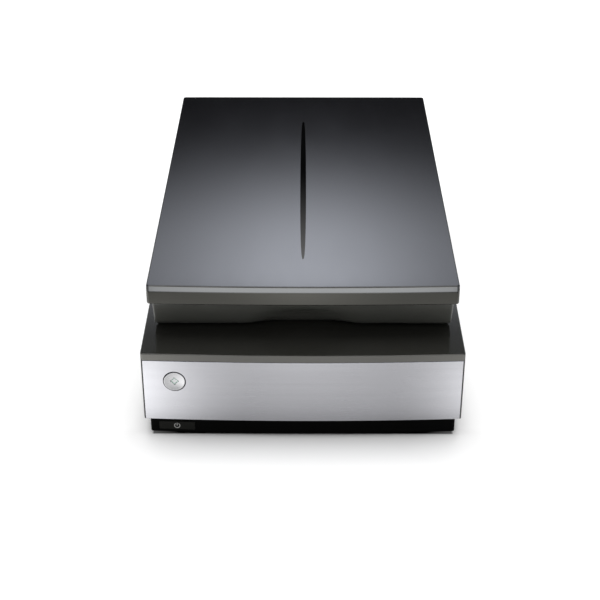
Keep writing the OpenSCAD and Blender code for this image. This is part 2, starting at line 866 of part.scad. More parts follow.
module main_board() {
    color("#2f6b3a")
        box_at([main_board_x, main_board_y, main_board_z], [main_board_w, main_board_l, board_t]);
    color("#222222") {
        post_box(-30, main_board_y + 14, socket_z, 18, 18, 2);
        post_box(4, main_board_y + 12, socket_z, 12, 10, 1.8);
    }
    color("#454a52")
        for (x = [-66, -54])
            post_round(x, main_board_y + 10, socket_z, 8, 11);
}
module socket_body(x, w) {
    post_box(x, socket_face_y - socket_l / 2, socket_z, w, socket_l, socket_h);
}
module usb_socket() {
    open_w = usb_w - 3;
    open_h = socket_h - 3;
    color("#c9cbcd")
        difference() {
            socket_body(usb_x, usb_w);
            post_box(usb_x, socket_face_y, socket_z + 1.5, open_w, 18, open_h);
        }
    color("#202020")
        post_box(usb_x, socket_face_y - 5.5, socket_z + socket_h / 2 - 1.6, 5.6, 8, 3.2);
}
module power_socket() {
    color("#1a1a1a") {
        difference() {
            socket_body(power_x, power_socket_w);
            rod_y(power_x, socket_face_y, socket_z + socket_h / 2, 6.2, 20);
        }
        rod_y(power_x, socket_face_y - 6, socket_z + socket_h / 2, 2, 9);
    }
}
module cover_socket() {
    color("#3a3a3c")
        difference() {
            socket_body(cover_x, cover_w);
            post_box(cover_x, socket_face_y, socket_z + 2, cover_w - 5, 16, socket_h - 4);
        }
}
module transport_lock() {
    color("#8d8f92") {
        box_at([-half_w + wall + fit_gap, lock_y - 20, lock_z - lock_slot_h / 2 - 3],
            [2, 34, lock_slot_h + 6]);
        box_at([-half_w + 0.4, lock_y - lock_slot_l / 2 + 0.5, lock_z - lock_slot_h / 2 + 0.5],
            [wall + 1, lock_knob_l, lock_slot_h - 1]);
        box_at([-half_w + wall + 1, lock_y - 26, lock_z - 2], [8, 8, 4]);
    }
}

// ---- Lid ----

lid_w = body_w - 2 * lid_in;
lid_front_y = front_y + lid_front;
lid_back_y = back_y - lid_back;
tray_z = base_z + lid_gap;
cover_z = tray_z + tray_h;
lid_top = cover_z + cover_h;
tray_half = lid_w / 2 - tray_in;
tray_front_y = lid_front_y + 3.9;
tray_back_y = hinge_y + 4;
tray_floor = tray_z + wall;
lip_h = 2.5;
tray_top = cover_z + lip_h;
chin_lean = 14;
chin_up = 5;
heel_back = 30.5;
lift_x = 65;
lift_h = 8.5;
notch_half = 17;
notch_front = 8;
notch_up = 11;
lid_tower_in = 18;
lid_tower_spots = [
    [-70, tray_front_y + 36.5], [70, tray_front_y + 36.5],
    [-lid_w / 2 + lid_tower_in, hinge_y - 14], [lid_w / 2 - lid_tower_in, hinge_y - 14]
];
lid_screw_seat = tray_z + 20;
lid_tower_top = lid_top - cover_t - 20;
film_open_w = film_w + 4;
film_open_l = film_l + 4;
window_lap = 6;
window_t = 2.5;
pad_spots = [
    for (side = [-1, 1], y = [lid_front_y + 50, hinge_y - 36]) [side * (lid_w / 2 - lid_tower_in), y]
];
pad_d = 12;

lamp_rod_x = tray_half - wall - 16;
lamp_rod_z = tray_z + 16;
lamp_home_y = platen_y + film_l / 2 + 25;
lamp_half = 18;
lamp_far_y = lamp_home_y - lamp_travel;
lamp_front_y = lamp_far_y - lamp_half - 8;
lamp_back_y = lamp_home_y + lamp_half + 8;
lamp_bar_z = tray_floor + window_t + 1;
lamp_bar_h = 3;
lamp_body_z = lamp_bar_z + lamp_bar_h;
lamp_body_h = 13;
lamp_body_w = 2 * (lamp_rod_x - 11);
lamp_rail_top = tray_z + 11;
lamp_post_w = 12;
lamp_belt_x = lamp_rod_x - 25;
lamp_belt_t = 1;
lamp_belt_w = 5;
lamp_drive_y = lamp_home_y + lamp_half + 17;
lamp_idler_y = lamp_far_y - lamp_half - 9;
lamp_gear_z = lamp_body_z + lamp_body_h + 2;
lamp_gear_h = 4.5;
lamp_belt_z = lamp_gear_z + lamp_gear_h + 1;
lamp_pulley_top = lamp_belt_z + lamp_belt_w + 0.5;
lamp_pinion_teeth = 12;
lamp_pinion_x = lamp_belt_x - (lamp_gear_teeth + lamp_pinion_teeth) * lamp_gear_m / 2;
lamp_motor_d = 28;
lamp_motor_h = 18.5;
lamp_shaft_d = 2;
lamp_run_x = lamp_belt_x - lamp_pulley_r - slide_gap - lamp_belt_t / 2;
lamp_board_x = -100;
lamp_board_w = 80;
lamp_board_l = 40;
lamp_board_y = lamp_back_y + 14;
gland_x = 30;
gland_z = tray_z + 22;
gland_d = 10;

groove_steps = 28;
groove_mid_y = lid_front_y + 222.5;
function groove_half(t) = groove_w * 0.72 * pow(t, 0.2) * pow(1 - t, 0.42);
module groove_plan() {
    translate([0, groove_mid_y - groove_l / 2])
        polygon([
            for (k = [0:groove_steps]) [-groove_half(k / groove_steps), groove_l * k / groove_steps],
            for (k = [groove_steps - 1:-1:1]) [groove_half(k / groove_steps), groove_l * k / groove_steps]
        ]);
}
module lid_cover() {
    bow_r = bow_radius(lid_w, lid_bow);
    bevel_lean = bevel_in / bevel_h;
    color("#3a3b3f")
        difference() {
            union() {
                difference() {
                    intersection() {
                        translate([0, 0, cover_z])
                            linear_extrude(cover_h)
                                bowed_plan(lid_w, lid_front_y, lid_back_y, corner_r, lid_bow);
                        translate([0, lid_front_y - lid_bow + bow_r, cover_z - through])
                            cylinder(h = cover_h + 2 * through,
                                r1 = bow_r + bevel_lean * (cover_h - bevel_h + through),
                                r2 = bow_r - bevel_in - bevel_lean * through, $fn = arc_fn);
                    }
                    translate([0, 0, cover_z + lip_h])
                        linear_extrude(cover_h - lip_h - cover_t)
                            bowed_plan(lid_w - 2 * wall, lid_front_y + wall, lid_back_y - wall, corner_r,
                                lid_bow);
                    box_at([-tray_half - fit_gap, tray_front_y - fit_gap, cover_z - through],
                        [2 * (tray_half + fit_gap), tray_back_y - tray_front_y + 2 * fit_gap,
                            lip_h + 2 * through]);
                }
                for (p = lid_tower_spots)
                    post_round(p.x, p.y, lid_tower_top, 8, lid_top - cover_t - lid_tower_top + eps);
            }
            translate([0, 0, lid_top - groove_deep])
                linear_extrude(2 * groove_deep)
                    groove_plan();
            for (p = lid_tower_spots)
                post_round(p.x, p.y, lid_tower_top - through, screw_d - 0.4, 20);
        }
}
module along_x(half) {
    translate([-half, 0, 0])
        rotate([90, 0, 90])
            linear_extrude(2 * half)
                children();
}
module finger_scoop(grow) {
    rod_x(0, tray_front_y - 5.5, tray_z, 2 * (scoop_r + grow), scoop_w + 2 * grow);
}
module corner_lifts(grow) {
    slope = atan(chin_up / (heel_back - chin_lean));
    for (side = [0, 1])
        mirror([side, 0, 0])
            translate([0, tray_front_y + heel_back, tray_z])
                rotate([90 - slope, 0, 0])
                    translate([0, 0, -tray_h])
                        linear_extrude(3 * tray_h)
                            polygon([
                                [lift_x - grow, -tray_h], [lift_x - grow, grow],
                                [tray_half + 5, lift_h + grow], [tray_half + 5, -tray_h]
                            ]);
}
module hinge_notches(grow) {
    for (side = [-1, 1])
        box_at([side * hinge_x - notch_half - grow, hinge_y - notch_front - grow, tray_z - through],
            [2 * (notch_half + grow), 40, hinge_z + notch_up + grow - tray_z + through]);
}
module lid_tray_shell() {
    difference() {
        along_x(tray_half)
            polygon([
                [tray_front_y, tray_top], [tray_front_y, cover_z - 1],
                [tray_front_y + chin_lean, tray_z + chin_up],
                [tray_front_y + heel_back, tray_z], [tray_back_y, tray_z], [tray_back_y, tray_top]
            ]);
        difference() {
            along_x(tray_half - wall)
                polygon([
                    [tray_front_y + wall, tray_top + through], [tray_front_y + wall, cover_z - 1],
                    [tray_front_y + chin_lean + wall, tray_z + chin_up + wall + 1],
                    [tray_front_y + heel_back + 1, tray_floor], [tray_back_y - wall, tray_floor],
                    [tray_back_y - wall, tray_top + through]
                ]);
            finger_scoop(wall);
            corner_lifts(wall);
            hinge_notches(wall);
        }
    }
}
module lid_tray_posts() {
    up = tray_floor - eps;
    for (p = lid_tower_spots)
        post_round(p.x, p.y, up, tower_d, lid_tower_top - up);
    for (y = [lamp_front_y, lamp_back_y])
        post_box(lamp_rod_x, y, up, lamp_post_w, 8, lamp_rod_z + 6 - up);
    box_at([-lamp_rod_x - 2, lamp_front_y, up], [4, lamp_back_y - lamp_front_y, lamp_rail_top - up]);
    for (y = [lamp_drive_y, lamp_idler_y]) {
        post_round(lamp_belt_x, y, up, 8, (y == lamp_drive_y ? lamp_gear_z : lamp_belt_z - 0.5)
            - slide_gap - up);
        post_round(lamp_belt_x, y, up, axle_d, lamp_pulley_top + 1 - up);
    }
    for (x = [lamp_board_x + 4, lamp_board_x + lamp_board_w - 4])
        for (y = [lamp_board_y + 4, lamp_board_y + lamp_board_l - 4])
            post_round(x, y, up, 6, 3);
}
module lid_tray() {
    color("#1e1e1c")
        difference() {
            union() {
                lid_tray_shell();
                lid_tray_posts();
            }
            finger_scoop(0);
            corner_lifts(0);
            hinge_notches(0);
            translate([0, platen_y, tray_z])
                cube([film_open_w, film_open_l, 4 * wall], center = true);
            rod_y(lamp_rod_x, (lamp_front_y + lamp_back_y) / 2, lamp_rod_z, lamp_rod_d + 2 * run_gap,
                lamp_back_y - lamp_front_y + 20);
            for (p = lid_tower_spots) {
                post_round(p.x, p.y, tray_z - through, screw_head_d + 1, lid_screw_seat - tray_z + through);
                post_round(p.x, p.y, tray_z, screw_d + 0.3, lid_top - tray_z);
            }
            for (p = pad_spots)
                post_round(p.x, p.y, tray_z - through, pad_d + 0.2, 1 + through);
            rod_y(gland_x, tray_back_y, gland_z, gland_d + 0.2, 4 * wall);
        }
}
module film_window() {
    color("#e8eef0", 0.6)
        translate([0, platen_y, tray_floor + window_t / 2])
            cube([film_open_w + 2 * window_lap, film_open_l + 2 * window_lap, window_t], center = true);
}
module document_mat() {
    mat_low = glass_top + slide_gap;
    color("#ecece8")
        translate([0, platen_y, (mat_low + tray_z) / 2])
            cube([platen_w - 2 * mat_in, platen_l - 2 * mat_in, tray_z - mat_low], center = true);
}
module lid_pads() {
    color("#151515")
        for (p = pad_spots)
            post_round(p.x, p.y, base_z + fit_gap, pad_d, lid_gap + 1 - fit_gap);
}
module lid_screws() {
    color("#c8c8c8")
        for (p = lid_tower_spots) {
            post_round(p.x, p.y, lid_screw_seat - 2.4, screw_head_d, 2.4);
            post_round(p.x, p.y, lid_screw_seat - eps, screw_d - 0.6, lid_tower_top + 16 - lid_screw_seat);
        }
}
module cable_gland() {
    color("#141414")
        difference() {
            union() {
                rod_y(gland_x, tray_back_y, gland_z, gland_d, 7);
                rod_y(gland_x, tray_back_y + 1.5, gland_z, gland_d + 3, 1.6);
            }
            rod_y(gland_x, tray_back_y + 4, gland_z, 3.8, 8);
        }
}

// ---- Film lamp ----

module lamp_rod() {
    color("#c4c6c8")
        rod_y(lamp_rod_x, (lamp_front_y + lamp_back_y) / 2, lamp_rod_z, lamp_rod_d,
            lamp_back_y - lamp_front_y + 8);
}
module lamp_carriage() {
    clamp_top = lamp_belt_z + lamp_belt_w + 0.7;
    body_top = lamp_body_z + lamp_body_h;
    color("#dcdcd6")
        difference() {
            union() {
                post_box(0, lamp_home_y, lamp_body_z, lamp_body_w, 2 * lamp_half, lamp_body_h);
                box_at([lamp_body_w / 2 - eps, lamp_home_y - lamp_half, lamp_rod_z - 7],
                    [lamp_rod_x + 7 - lamp_body_w / 2, 2 * lamp_half, 14]);
                box_at([-lamp_rod_x - 5, lamp_home_y - 10, lamp_rail_top + slide_gap],
                    [lamp_rod_x + 5 - lamp_body_w / 2 + eps, 20, 6]);
                post_box(lamp_run_x, lamp_home_y, body_top - eps, 8, 12, clamp_top - body_top);
            }
            rod_y(lamp_rod_x, lamp_home_y, lamp_rod_z, lamp_rod_d + 2 * run_gap, 3 * lamp_half);
            box_at([lamp_run_x - lamp_belt_t / 2 - slide_gap, lamp_home_y - 8, lamp_belt_z - slide_gap],
                [lamp_belt_t + 2 * slide_gap, 16, lamp_belt_w + 3]);
            // Hollow top of the moulding, with a rib along the middle
            for (side = [-1, 1])
                post_box(side * 44, lamp_home_y, lamp_body_z + wall, 72, 2 * lamp_half - 2 * wall,
                    lamp_body_h);
        }
}
module lamp_strip() {
    color("#fbfbf4")
        post_box(0, lamp_home_y, lamp_bar_z, film_w + 8, 12, lamp_bar_h);
}
module lamp_belt() {
    color("#111111")
        belt_loop(lamp_belt_x, lamp_idler_y, lamp_drive_y, lamp_belt_z, lamp_pulley_r + slide_gap,
            lamp_belt_t, lamp_belt_w);
}
module lamp_pulley_shape(y) {
    translate([lamp_belt_x, y, lamp_belt_z - 0.5])
        cylinder(h = lamp_pulley_top - lamp_belt_z + 0.5, r = lamp_pulley_r);
}
module lamp_pulley() {
    color("#d8d4c4")
        difference() {
            union() {
                lamp_pulley_shape(lamp_drive_y);
                post_round(lamp_belt_x, lamp_drive_y, lamp_gear_z, 9, lamp_gear_h + 1);
                translate([lamp_belt_x, lamp_drive_y, lamp_gear_z])
                    linear_extrude(lamp_gear_h)
                        gear_plan(lamp_gear_teeth, lamp_gear_m);
            }
            post_round(lamp_belt_x, lamp_drive_y, lamp_gear_z - through, axle_d + 2 * run_gap, 20);
        }
}
module lamp_idler() {
    color("#d8d4c4")
        difference() {
            lamp_pulley_shape(lamp_idler_y);
            post_round(lamp_belt_x, lamp_idler_y, lamp_gear_z, axle_d + 2 * run_gap, 20);
        }
}
module lamp_motor() {
    color("#6d6f72")
        difference() {
            post_round(lamp_pinion_x, lamp_drive_y, tray_floor, lamp_motor_d, lamp_motor_h);
            post_round(lamp_pinion_x, lamp_drive_y, tray_floor + 3, lamp_shaft_d + 2 * run_gap,
                lamp_motor_h);
        }
}
module lamp_pinion() {
    color("#c8a860") {
        translate([lamp_pinion_x, lamp_drive_y, lamp_gear_z - 0.4])
            rotate([0, 0, 180 / lamp_pinion_teeth])
                linear_extrude(lamp_gear_h + 0.8)
                    gear_plan(lamp_pinion_teeth, lamp_gear_m);
        post_round(lamp_pinion_x, lamp_drive_y, tray_floor + 4, lamp_shaft_d,
            lamp_gear_z + lamp_gear_h - tray_floor - 4);
    }
}
module lamp_board() {
    color("#2f6b3a")
        box_at([lamp_board_x, lamp_board_y, tray_floor + 3], [lamp_board_w, lamp_board_l, board_t]);
    color("#222222")
        box_at([lamp_board_x + 30, lamp_board_y + 12, tray_floor + 3 + board_t - eps], [16, 16, 2]);
}

// ---- Hinge ----

ear_gap = 0.5;
ear_t = 2.5;
knuckle_w = post_w + 2;
knuckle_d = hinge_pin_d + 7;
module hinge_brackets() {
    plate_top = hinge_z + notch_up;
    color("#a9abad")
        for (side = [-1, 1])
            difference() {
                union() {
                    box_at([side * hinge_x - notch_half + fit_gap, hinge_y - notch_front + 1, plate_top - 2],
                        [2 * (notch_half - fit_gap), notch_front + 3, 2]);
                    for (ear = [-1, 1]) {
                        ear_x = side * hinge_x + ear * (knuckle_w / 2 + ear_gap + ear_t / 2);
                        rod_x(ear_x, hinge_y, hinge_z, 10, ear_t);
                        post_box(ear_x, hinge_y, hinge_z, ear_t, 8, notch_up - 2 + eps);
                    }
                }
                rod_x(side * hinge_x, hinge_y, hinge_z, hinge_pin_d + run_gap, 50);
            }
}
module hinge_pins() {
    color("#d0d2d4")
        for (side = [-1, 1])
            rod_x(side * hinge_x, hinge_y, hinge_z, hinge_pin_d, knuckle_w + 2 * (ear_gap + ear_t + 1));
}
module lid_posts() {
    color("#2a2a2c")
        for (side = [-1, 1])
            difference() {
                union() {
                    rod_x(side * hinge_x, hinge_y, hinge_z, knuckle_d, knuckle_w);
                    post_box(side * hinge_x, hinge_y, base_z, knuckle_w, post_t, hinge_up);
                    post_box(side * hinge_x, hinge_y, base_z, post_w + 6, post_t + 5, 2);
                    post_box(side * hinge_x, hinge_y, base_z - post_l, post_w, post_t, post_l + 1);
                }
                rod_x(side * hinge_x, hinge_y, hinge_z, hinge_pin_d + 2 * run_gap, 50);
            }
}

lower_case();
top_frame();
scan_glass();
glass_gasket();
white_strip();
front_panel();
start_button();
start_light();
power_button();
power_ring();
button_board();
rubber_feet();
guide_rod();
rod_clips();
side_rail();
carriage_frame();
carriage_cover();
carriage_bushes();
light_bars();
first_mirror();
second_mirror();
third_mirror();
lens_rod();
lens_carrier();
photo_lens();
film_lens();
sensor_board();
image_sensor();
drive_belt();
drive_pulley();
idler_pulley();
idler_bracket();
motor_bracket();
scan_motor();
motor_pinion();
main_board();
usb_socket();
power_socket();
cover_socket();
transport_lock();
case_screws();
lid_cover();
lid_tray();
film_window();
document_mat();
lid_pads();
lamp_rod();
lamp_carriage();
lamp_strip();
lamp_belt();
lamp_pulley();
lamp_idler();
lamp_motor();
lamp_pinion();
lamp_board();
lid_screws();
hinge_brackets();
hinge_pins();
lid_posts();
cable_gland();
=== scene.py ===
"""Looks of a flatbed film and photo scanner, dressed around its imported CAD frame.

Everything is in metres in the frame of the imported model: +Z is up and the front faces -Y. Sizes are
written in millimetres and turned to metres where the pieces are modelled.
"""

import logging
import math
from contextlib import contextmanager
from dataclasses import dataclass, field
from enum import Enum
from typing import Callable, Iterator, Sequence

import bmesh
import bpy
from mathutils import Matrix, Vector


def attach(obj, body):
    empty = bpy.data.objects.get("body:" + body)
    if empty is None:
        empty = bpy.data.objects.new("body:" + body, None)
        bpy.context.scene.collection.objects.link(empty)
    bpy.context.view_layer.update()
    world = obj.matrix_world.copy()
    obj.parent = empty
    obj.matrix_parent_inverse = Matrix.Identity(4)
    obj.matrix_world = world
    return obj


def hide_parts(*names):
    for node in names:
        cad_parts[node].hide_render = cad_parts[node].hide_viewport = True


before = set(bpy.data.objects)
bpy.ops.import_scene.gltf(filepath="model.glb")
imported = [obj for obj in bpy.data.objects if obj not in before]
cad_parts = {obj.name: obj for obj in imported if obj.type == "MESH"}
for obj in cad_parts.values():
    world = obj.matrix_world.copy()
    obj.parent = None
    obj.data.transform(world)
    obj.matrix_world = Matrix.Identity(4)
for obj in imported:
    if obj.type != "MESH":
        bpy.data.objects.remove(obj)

MM = 0.001
SLACK = 0.1  # millimetres within which a place counts as on a line
ROUND = 96  # sides of a round outline
log = logging.getLogger("scanner")

Point = tuple[float, float, float]
Colour = tuple[float, float, float]
Levels = tuple[tuple[float, float], ...]
STILL: Point = (0.0, 0.0, 0.0)


# ---- Shader maths ----


class Value:
    """A socket of a shader tree that takes part in Python arithmetic."""

    def __init__(self, tree: "ShaderTree", socket: bpy.types.NodeSocket) -> None:
        """Wraps one output socket of a tree."""
        self.tree = tree
        self.socket = socket

    def __add__(self, other: "Value | float") -> "Value":
        """Sum."""
        return self.tree.math("ADD", self, other)

    def __radd__(self, other: float) -> "Value":
        """Sum with a number on the left."""
        return self.tree.math("ADD", other, self)

    def __sub__(self, other: "Value | float") -> "Value":
        """Difference."""
        return self.tree.math("SUBTRACT", self, other)

    def __rsub__(self, other: float) -> "Value":
        """Difference with a number on the left."""
        return self.tree.math("SUBTRACT", other, self)

    def __mul__(self, other: "Value | float") -> "Value":
        """Product."""
        return self.tree.math("MULTIPLY", self, other)

    def __rmul__(self, other: float) -> "Value":
        """Product with a number on the left."""
        return self.tree.math("MULTIPLY", other, self)

    def __truediv__(self, other: "Value | float") -> "Value":
        """Quotient."""
        return self.tree.math("DIVIDE", self, other)

    def __rtruediv__(self, other: float) -> "Value":
        """A number divided by this value."""
        return self.tree.math("DIVIDE", other, self)

    def __gt__(self, other: "Value | float") -> "Value":
        """1 where this value is the greater one, else 0."""
        return self.tree.math("GREATER_THAN", self, other)

    def __lt__(self, other: "Value | float") -> "Value":
        """1 where this value is the smaller one, else 0."""
        return self.tree.math("LESS_THAN", self, other)

    def power(self, exponent: float) -> "Value":
        """This value raised to a power."""
        return self.tree.math("POWER", self, exponent)

    def absolute(self) -> "Value":
        """This value without its sign."""
        return self.tree.math("ABSOLUTE", self)

    def at_least(self, other: "Value | float") -> "Value":
        """The greater one of this value and another."""
        return self.tree.math("MAXIMUM", self, other)

    def clamped(self) -> "Value":
        """This value held between 0 and 1."""
        return self.tree.math("MINIMUM", self.at_least(0.0), 1.0)

    def rise(self, start: float, slope: float) -> "Value":
        """0 up to a start, and from there a slope that ends at 1."""
        return ((self - start) * slope).clamped()

    def falloff(self) -> "Value":
        """1 where this value is 0, and less where it is more."""
        return 1.0 / (1.0 + self)


class ShaderTree:
    """The node tree of one material or world."""

    def __init__(self, name: str, shelf: bpy.types.bpy_prop_collection | None = None) -> None:
        """Starts an empty tree on a new material, or on a new entry of another shelf, of that name."""
        self.owner = (bpy.data.materials if shelf is None else shelf).new(name)
        self.owner.use_nodes = True
        self.nodes = self.owner.node_tree.nodes
        self.links = self.owner.node_tree.links
        self.nodes.clear()

    def node(self, kind: str, settings: dict | None = None, sockets: dict | None = None) -> bpy.types.Node:
        """Adds a node.

        Args:
            kind: Blender's name of the node's type.
            settings: attributes of the node, set first; "stops" fills a ramp with greys.
            sockets: values or links of its inputs, by name or index.

        Returns:
            The node.
        """
        made = self.nodes.new(kind)
        for name, value in (settings or {}).items():
            if name == "stops":
                self._fill_ramp(made.color_ramp, value)
            else:
                setattr(made, name, value)
        for name, value in (sockets or {}).items():
            if isinstance(value, Value):
                self.links.new(value.socket, made.inputs[name])
            else:
                made.inputs[name].default_value = value
        return made

    @staticmethod
    def _fill_ramp(ramp: bpy.types.ColorRamp, stops: Levels) -> None:
        """Gives a ramp of greys its stops, in rising order."""
        while len(ramp.elements) < len(stops):
            ramp.elements.new(1.0)
        for element, (place, level) in zip(ramp.elements, stops):
            element.position = place
            element.color = (level, level, level, 1.0)

    def value(self, kind: str, sockets: dict, settings: dict | None = None, out: int | str = 0) -> Value:
        """Adds a node and gives one of its outputs, by index or name."""
        return Value(self, self.node(kind, settings, sockets).outputs[out])

    def math(self, operation: str, first: Value | float, second: Value | float = 0.0) -> Value:
        """One Math node of two inputs."""
        return self.value("ShaderNodeMath", {0: first, 1: second}, {"operation": operation})

    def place(self, scale: Point = (1.0, 1.0, 1.0), centre: Point = (0.0, 0.0, 0.0)) -> Value:
        """Object coordinates about a centre, stretched by a scale on each axis."""
        source = self.value("ShaderNodeTexCoord", {}, out="Object")
        shift = tuple(-c * s for c, s in zip(centre, scale))
        return self.value("ShaderNodeMapping", {"Vector": source, "Location": shift, "Scale": scale})

    def axis(self, where: Value, name: str) -> Value:
        """One coordinate, X, Y or Z, of a vector."""
        return self.value("ShaderNodeSeparateXYZ", {0: where}, out=name)

    def noise(self, where: Value, scale: float, detail: float = 2.0, rough: float = 0.5) -> Value:
        """Smooth noise from 0 to 1 at a scale in patches per unit of its coordinates."""
        sockets = {"Vector": where, "Scale": scale, "Detail": detail, "Roughness": rough}
        return self.value("ShaderNodeTexNoise", sockets)

    def cells(self, where: Value, scale: float) -> Value:
        """Distance pattern of scattered cells."""
        return self.value("ShaderNodeTexVoronoi", {"Vector": where, "Scale": scale}, out="Distance")

    def rays(self) -> dict[str, Value]:
        """The kinds of ray that meet the surface, by the names of their sockets."""
        return {out.name: Value(self, out) for out in self.node("ShaderNodeLightPath").outputs}

    def grey_ramp(self, value: Value, stops: Levels) -> Value:
        """Levels along a value."""
        return self.value("ShaderNodeValToRGB", {"Fac": value}, {"stops": stops}, "Color")

    def blend(self, factor: Value, low: Value | Colour, high: Value | Colour) -> Value:
        """Mixes two colours by a factor."""
        ends = [end if isinstance(end, Value) else (*end, 1.0) for end in (low, high)]
        return self.value("ShaderNodeMix", {0: factor, 6: ends[0], 7: ends[1]}, {"data_type": "RGBA"}, 2)

    def tones(self, colour: Colour, share: Value, dark: float, light: float) -> Value:
        """A colour that wanders between a darker and a lighter shade of itself."""
        return self.blend(share, shade(colour, dark), shade(colour, light))

    def bump(self, height: Value, depth_mm: float, strength: float = 1.0) -> Value:
        """Turns a height from 0 to 1 into a surface normal.

        Args:
            height: the height over the surface.
            depth_mm: the depth of the relief in millimetres.
            strength: how much of the relief shows.

        Returns:
            The bent normal.
        """
        sockets = {"Strength": strength, "Distance": depth_mm * MM, "Height": height}
        return self.value("ShaderNodeBump", sockets)

    def surface(self, **sockets: Value | float | tuple) -> bpy.types.Material:
        """Ends the tree in a Principled surface.

        Args:
            sockets: inputs of the shader, with _ for each space in their names.

        Returns:
            The material.
        """
        named = {name.replace("_", " "): value for name, value in sockets.items()}
        self.finish(self.value("ShaderNodeBsdfPrincipled", named))
        return self.owner

    def finish(self, shader: Value, kind: str = "Material") -> None:
        """Leads a shader to the output of a material or world."""
        self.node("ShaderNodeOutput" + kind, None, {"Surface": shader})


def grey(value: float) -> Colour:
    """A neutral colour."""
    return (value, value, value)


def shade(colour: Colour, factor: float) -> Colour:
    """A colour made lighter or darker."""
    return tuple(min(1.0, part * factor) for part in colour)


# ---- Finishes ----


@dataclass(frozen=True)
class GlossLacquer:
    """Dark lacquer with fine metal flake in it, as on the lid and the top frame."""

    name: str
    colour: Colour = (0.005, 0.005, 0.0058)
    flake: float = 0.35
    roughness: float = 0.07
    index: float = 1.5
    sheen: Colour = (1.0, 1.0, 1.0)

    def build(self) -> bpy.types.Material:
        """Makes the material."""
        tree = ShaderTree(self.name)
        where = tree.place()
        flakes = tree.noise(where, 5200.0, 1.0)
        cloud = tree.noise(where, 14.0, 3.0)
        smears = tree.noise(tree.place((26.0, 9.0, 26.0)), 1.0, 4.0, 0.6)
        colour = tree.tones(self.colour, flakes * self.flake + cloud * 0.3, 0.8, 1.5)
        peel = tree.noise(where, 900.0, 2.0)
        return tree.surface(
            Base_Color=colour,
            Roughness=self.roughness - 0.02 + smears * 0.04,
            IOR=self.index,
            Specular_Tint=(*self.sheen, 1.0),
            Normal=tree.bump(peel, 0.004, 0.5),
        )


@dataclass(frozen=True)
class MouldedPlastic:
    """Injection moulded plastic with a spark-eroded grain."""

    name: str
    colour: Colour
    roughness: float = 0.45
    grain: float = 2600.0
    depth: float = 0.02
    index: float = 1.5
    painted_shade_span: tuple[float, float] = (0.0, 0.0)

    def build(self) -> bpy.types.Material:
        """Makes the material; where asked, painted shade takes it to black at the first y of
        painted_shade_span and to full colour at the second.
        """
        tree = ShaderTree(self.name)
        where = tree.place()
        grain = tree.noise(where, self.grain, 2.0)
        patches = tree.noise(where, 22.0, 3.0)
        colour = tree.tones(self.colour, patches * 0.7 + grain * 0.3, 0.82, 1.2)
        start, end = self.painted_shade_span
        # painted shade: where a span is given, the colour darkens to black towards its first y
        if start != end:
            along = tree.axis(where, "Y").rise(start, 1.0 / (end - start))
            colour = tree.blend(along * along, tree.blend(grain, grey(0.0), grey(0.001)), colour)
        return tree.surface(
            Base_Color=colour,
            Roughness=self.roughness - 0.05 + patches * 0.1,
            IOR=self.index,
            Normal=tree.bump(grain, self.depth, 0.6),
        )


class Brushing(Enum):
    """Which way the lines of a brushed finish run."""

    ALONG_X = (6.0, 2200.0, 2200.0)
    NONE = (420.0, 420.0, 420.0)


@dataclass(frozen=True)
class BrushedMetal:
    """Metal or silver paint with fine brushed lines."""

    name: str
    colour: Colour
    brushing: Brushing = Brushing.ALONG_X
    roughness: float = 0.3
    depth: float = 0.004
    stretch: float = 0.0
    turn: float = 0.0

    def build(self) -> bpy.types.Material:
        """Makes the material."""
        tree = ShaderTree(self.name)
        lines = tree.noise(tree.place(self.brushing.value), 1.0, 3.0, 0.6)
        broad = tree.noise(tree.place(tuple(s * 0.08 for s in self.brushing.value)), 1.0, 2.0)
        handling = tree.noise(tree.place(), 16.0, 3.0)
        colour = tree.tones(self.colour, lines * 0.6 + broad * 0.4, 0.86, 1.1)
        return tree.surface(
            Base_Color=colour,
            Metallic=1.0,
            Roughness=self.roughness - 0.04 + lines * 0.05 + handling * 0.04,
            Anisotropic=self.stretch,
            Anisotropic_Rotation=self.turn,
            Normal=tree.bump(lines, self.depth, 0.5),
        )


@dataclass(frozen=True)
class SpunMetal:
    """Metal turned about an axis along Y, with fine rings, as on the start button."""

    name: str
    colour: Colour
    centre: Point
    roughness: float = 0.26

    def build(self) -> bpy.types.Material:
        """Makes the material."""
        tree = ShaderTree(self.name)
        where = tree.place(centre=self.centre)
        across = tree.axis(where, "X")
        up = tree.axis(where, "Z")
        radius = (across * across + up * up).power(0.5)
        rings = tree.noise(tree.value("ShaderNodeCombineXYZ", {0: radius * 2600.0}), 1.0, 2.0)
        handling = tree.noise(where, 90.0, 2.0)
        colour = tree.tones(self.colour, rings, 0.88, 1.08)
        return tree.surface(
            Base_Color=colour,
            Metallic=1.0,
            Roughness=self.roughness - 0.03 + rings * 0.05 + handling * 0.04,
            Normal=tree.bump(rings, 0.003, 0.5),
        )


@dataclass(frozen=True)
class SheetSteel:
    """Zinc-plated or machined metal with faint spangle and scratches."""

    name: str
    colour: Colour = (0.52, 0.53, 0.54)
    roughness: float = 0.34
    spangle: float = 90.0

    def build(self) -> bpy.types.Material:
        """Makes the material."""
        tree = ShaderTree(self.name)
        where = tree.place()
        spangle = tree.cells(where, self.spangle)
        fine = tree.noise(tree.place((900.0, 120.0, 900.0)), 1.0, 3.0)
        colour = tree.tones(self.colour, spangle * 0.6 + fine * 0.4, 0.84, 1.14)
        return tree.surface(
            Base_Color=colour,
            Metallic=1.0,
            Roughness=self.roughness - 0.05 + fine * 0.1,
            Normal=tree.bump(fine, 0.004, 0.4),
        )


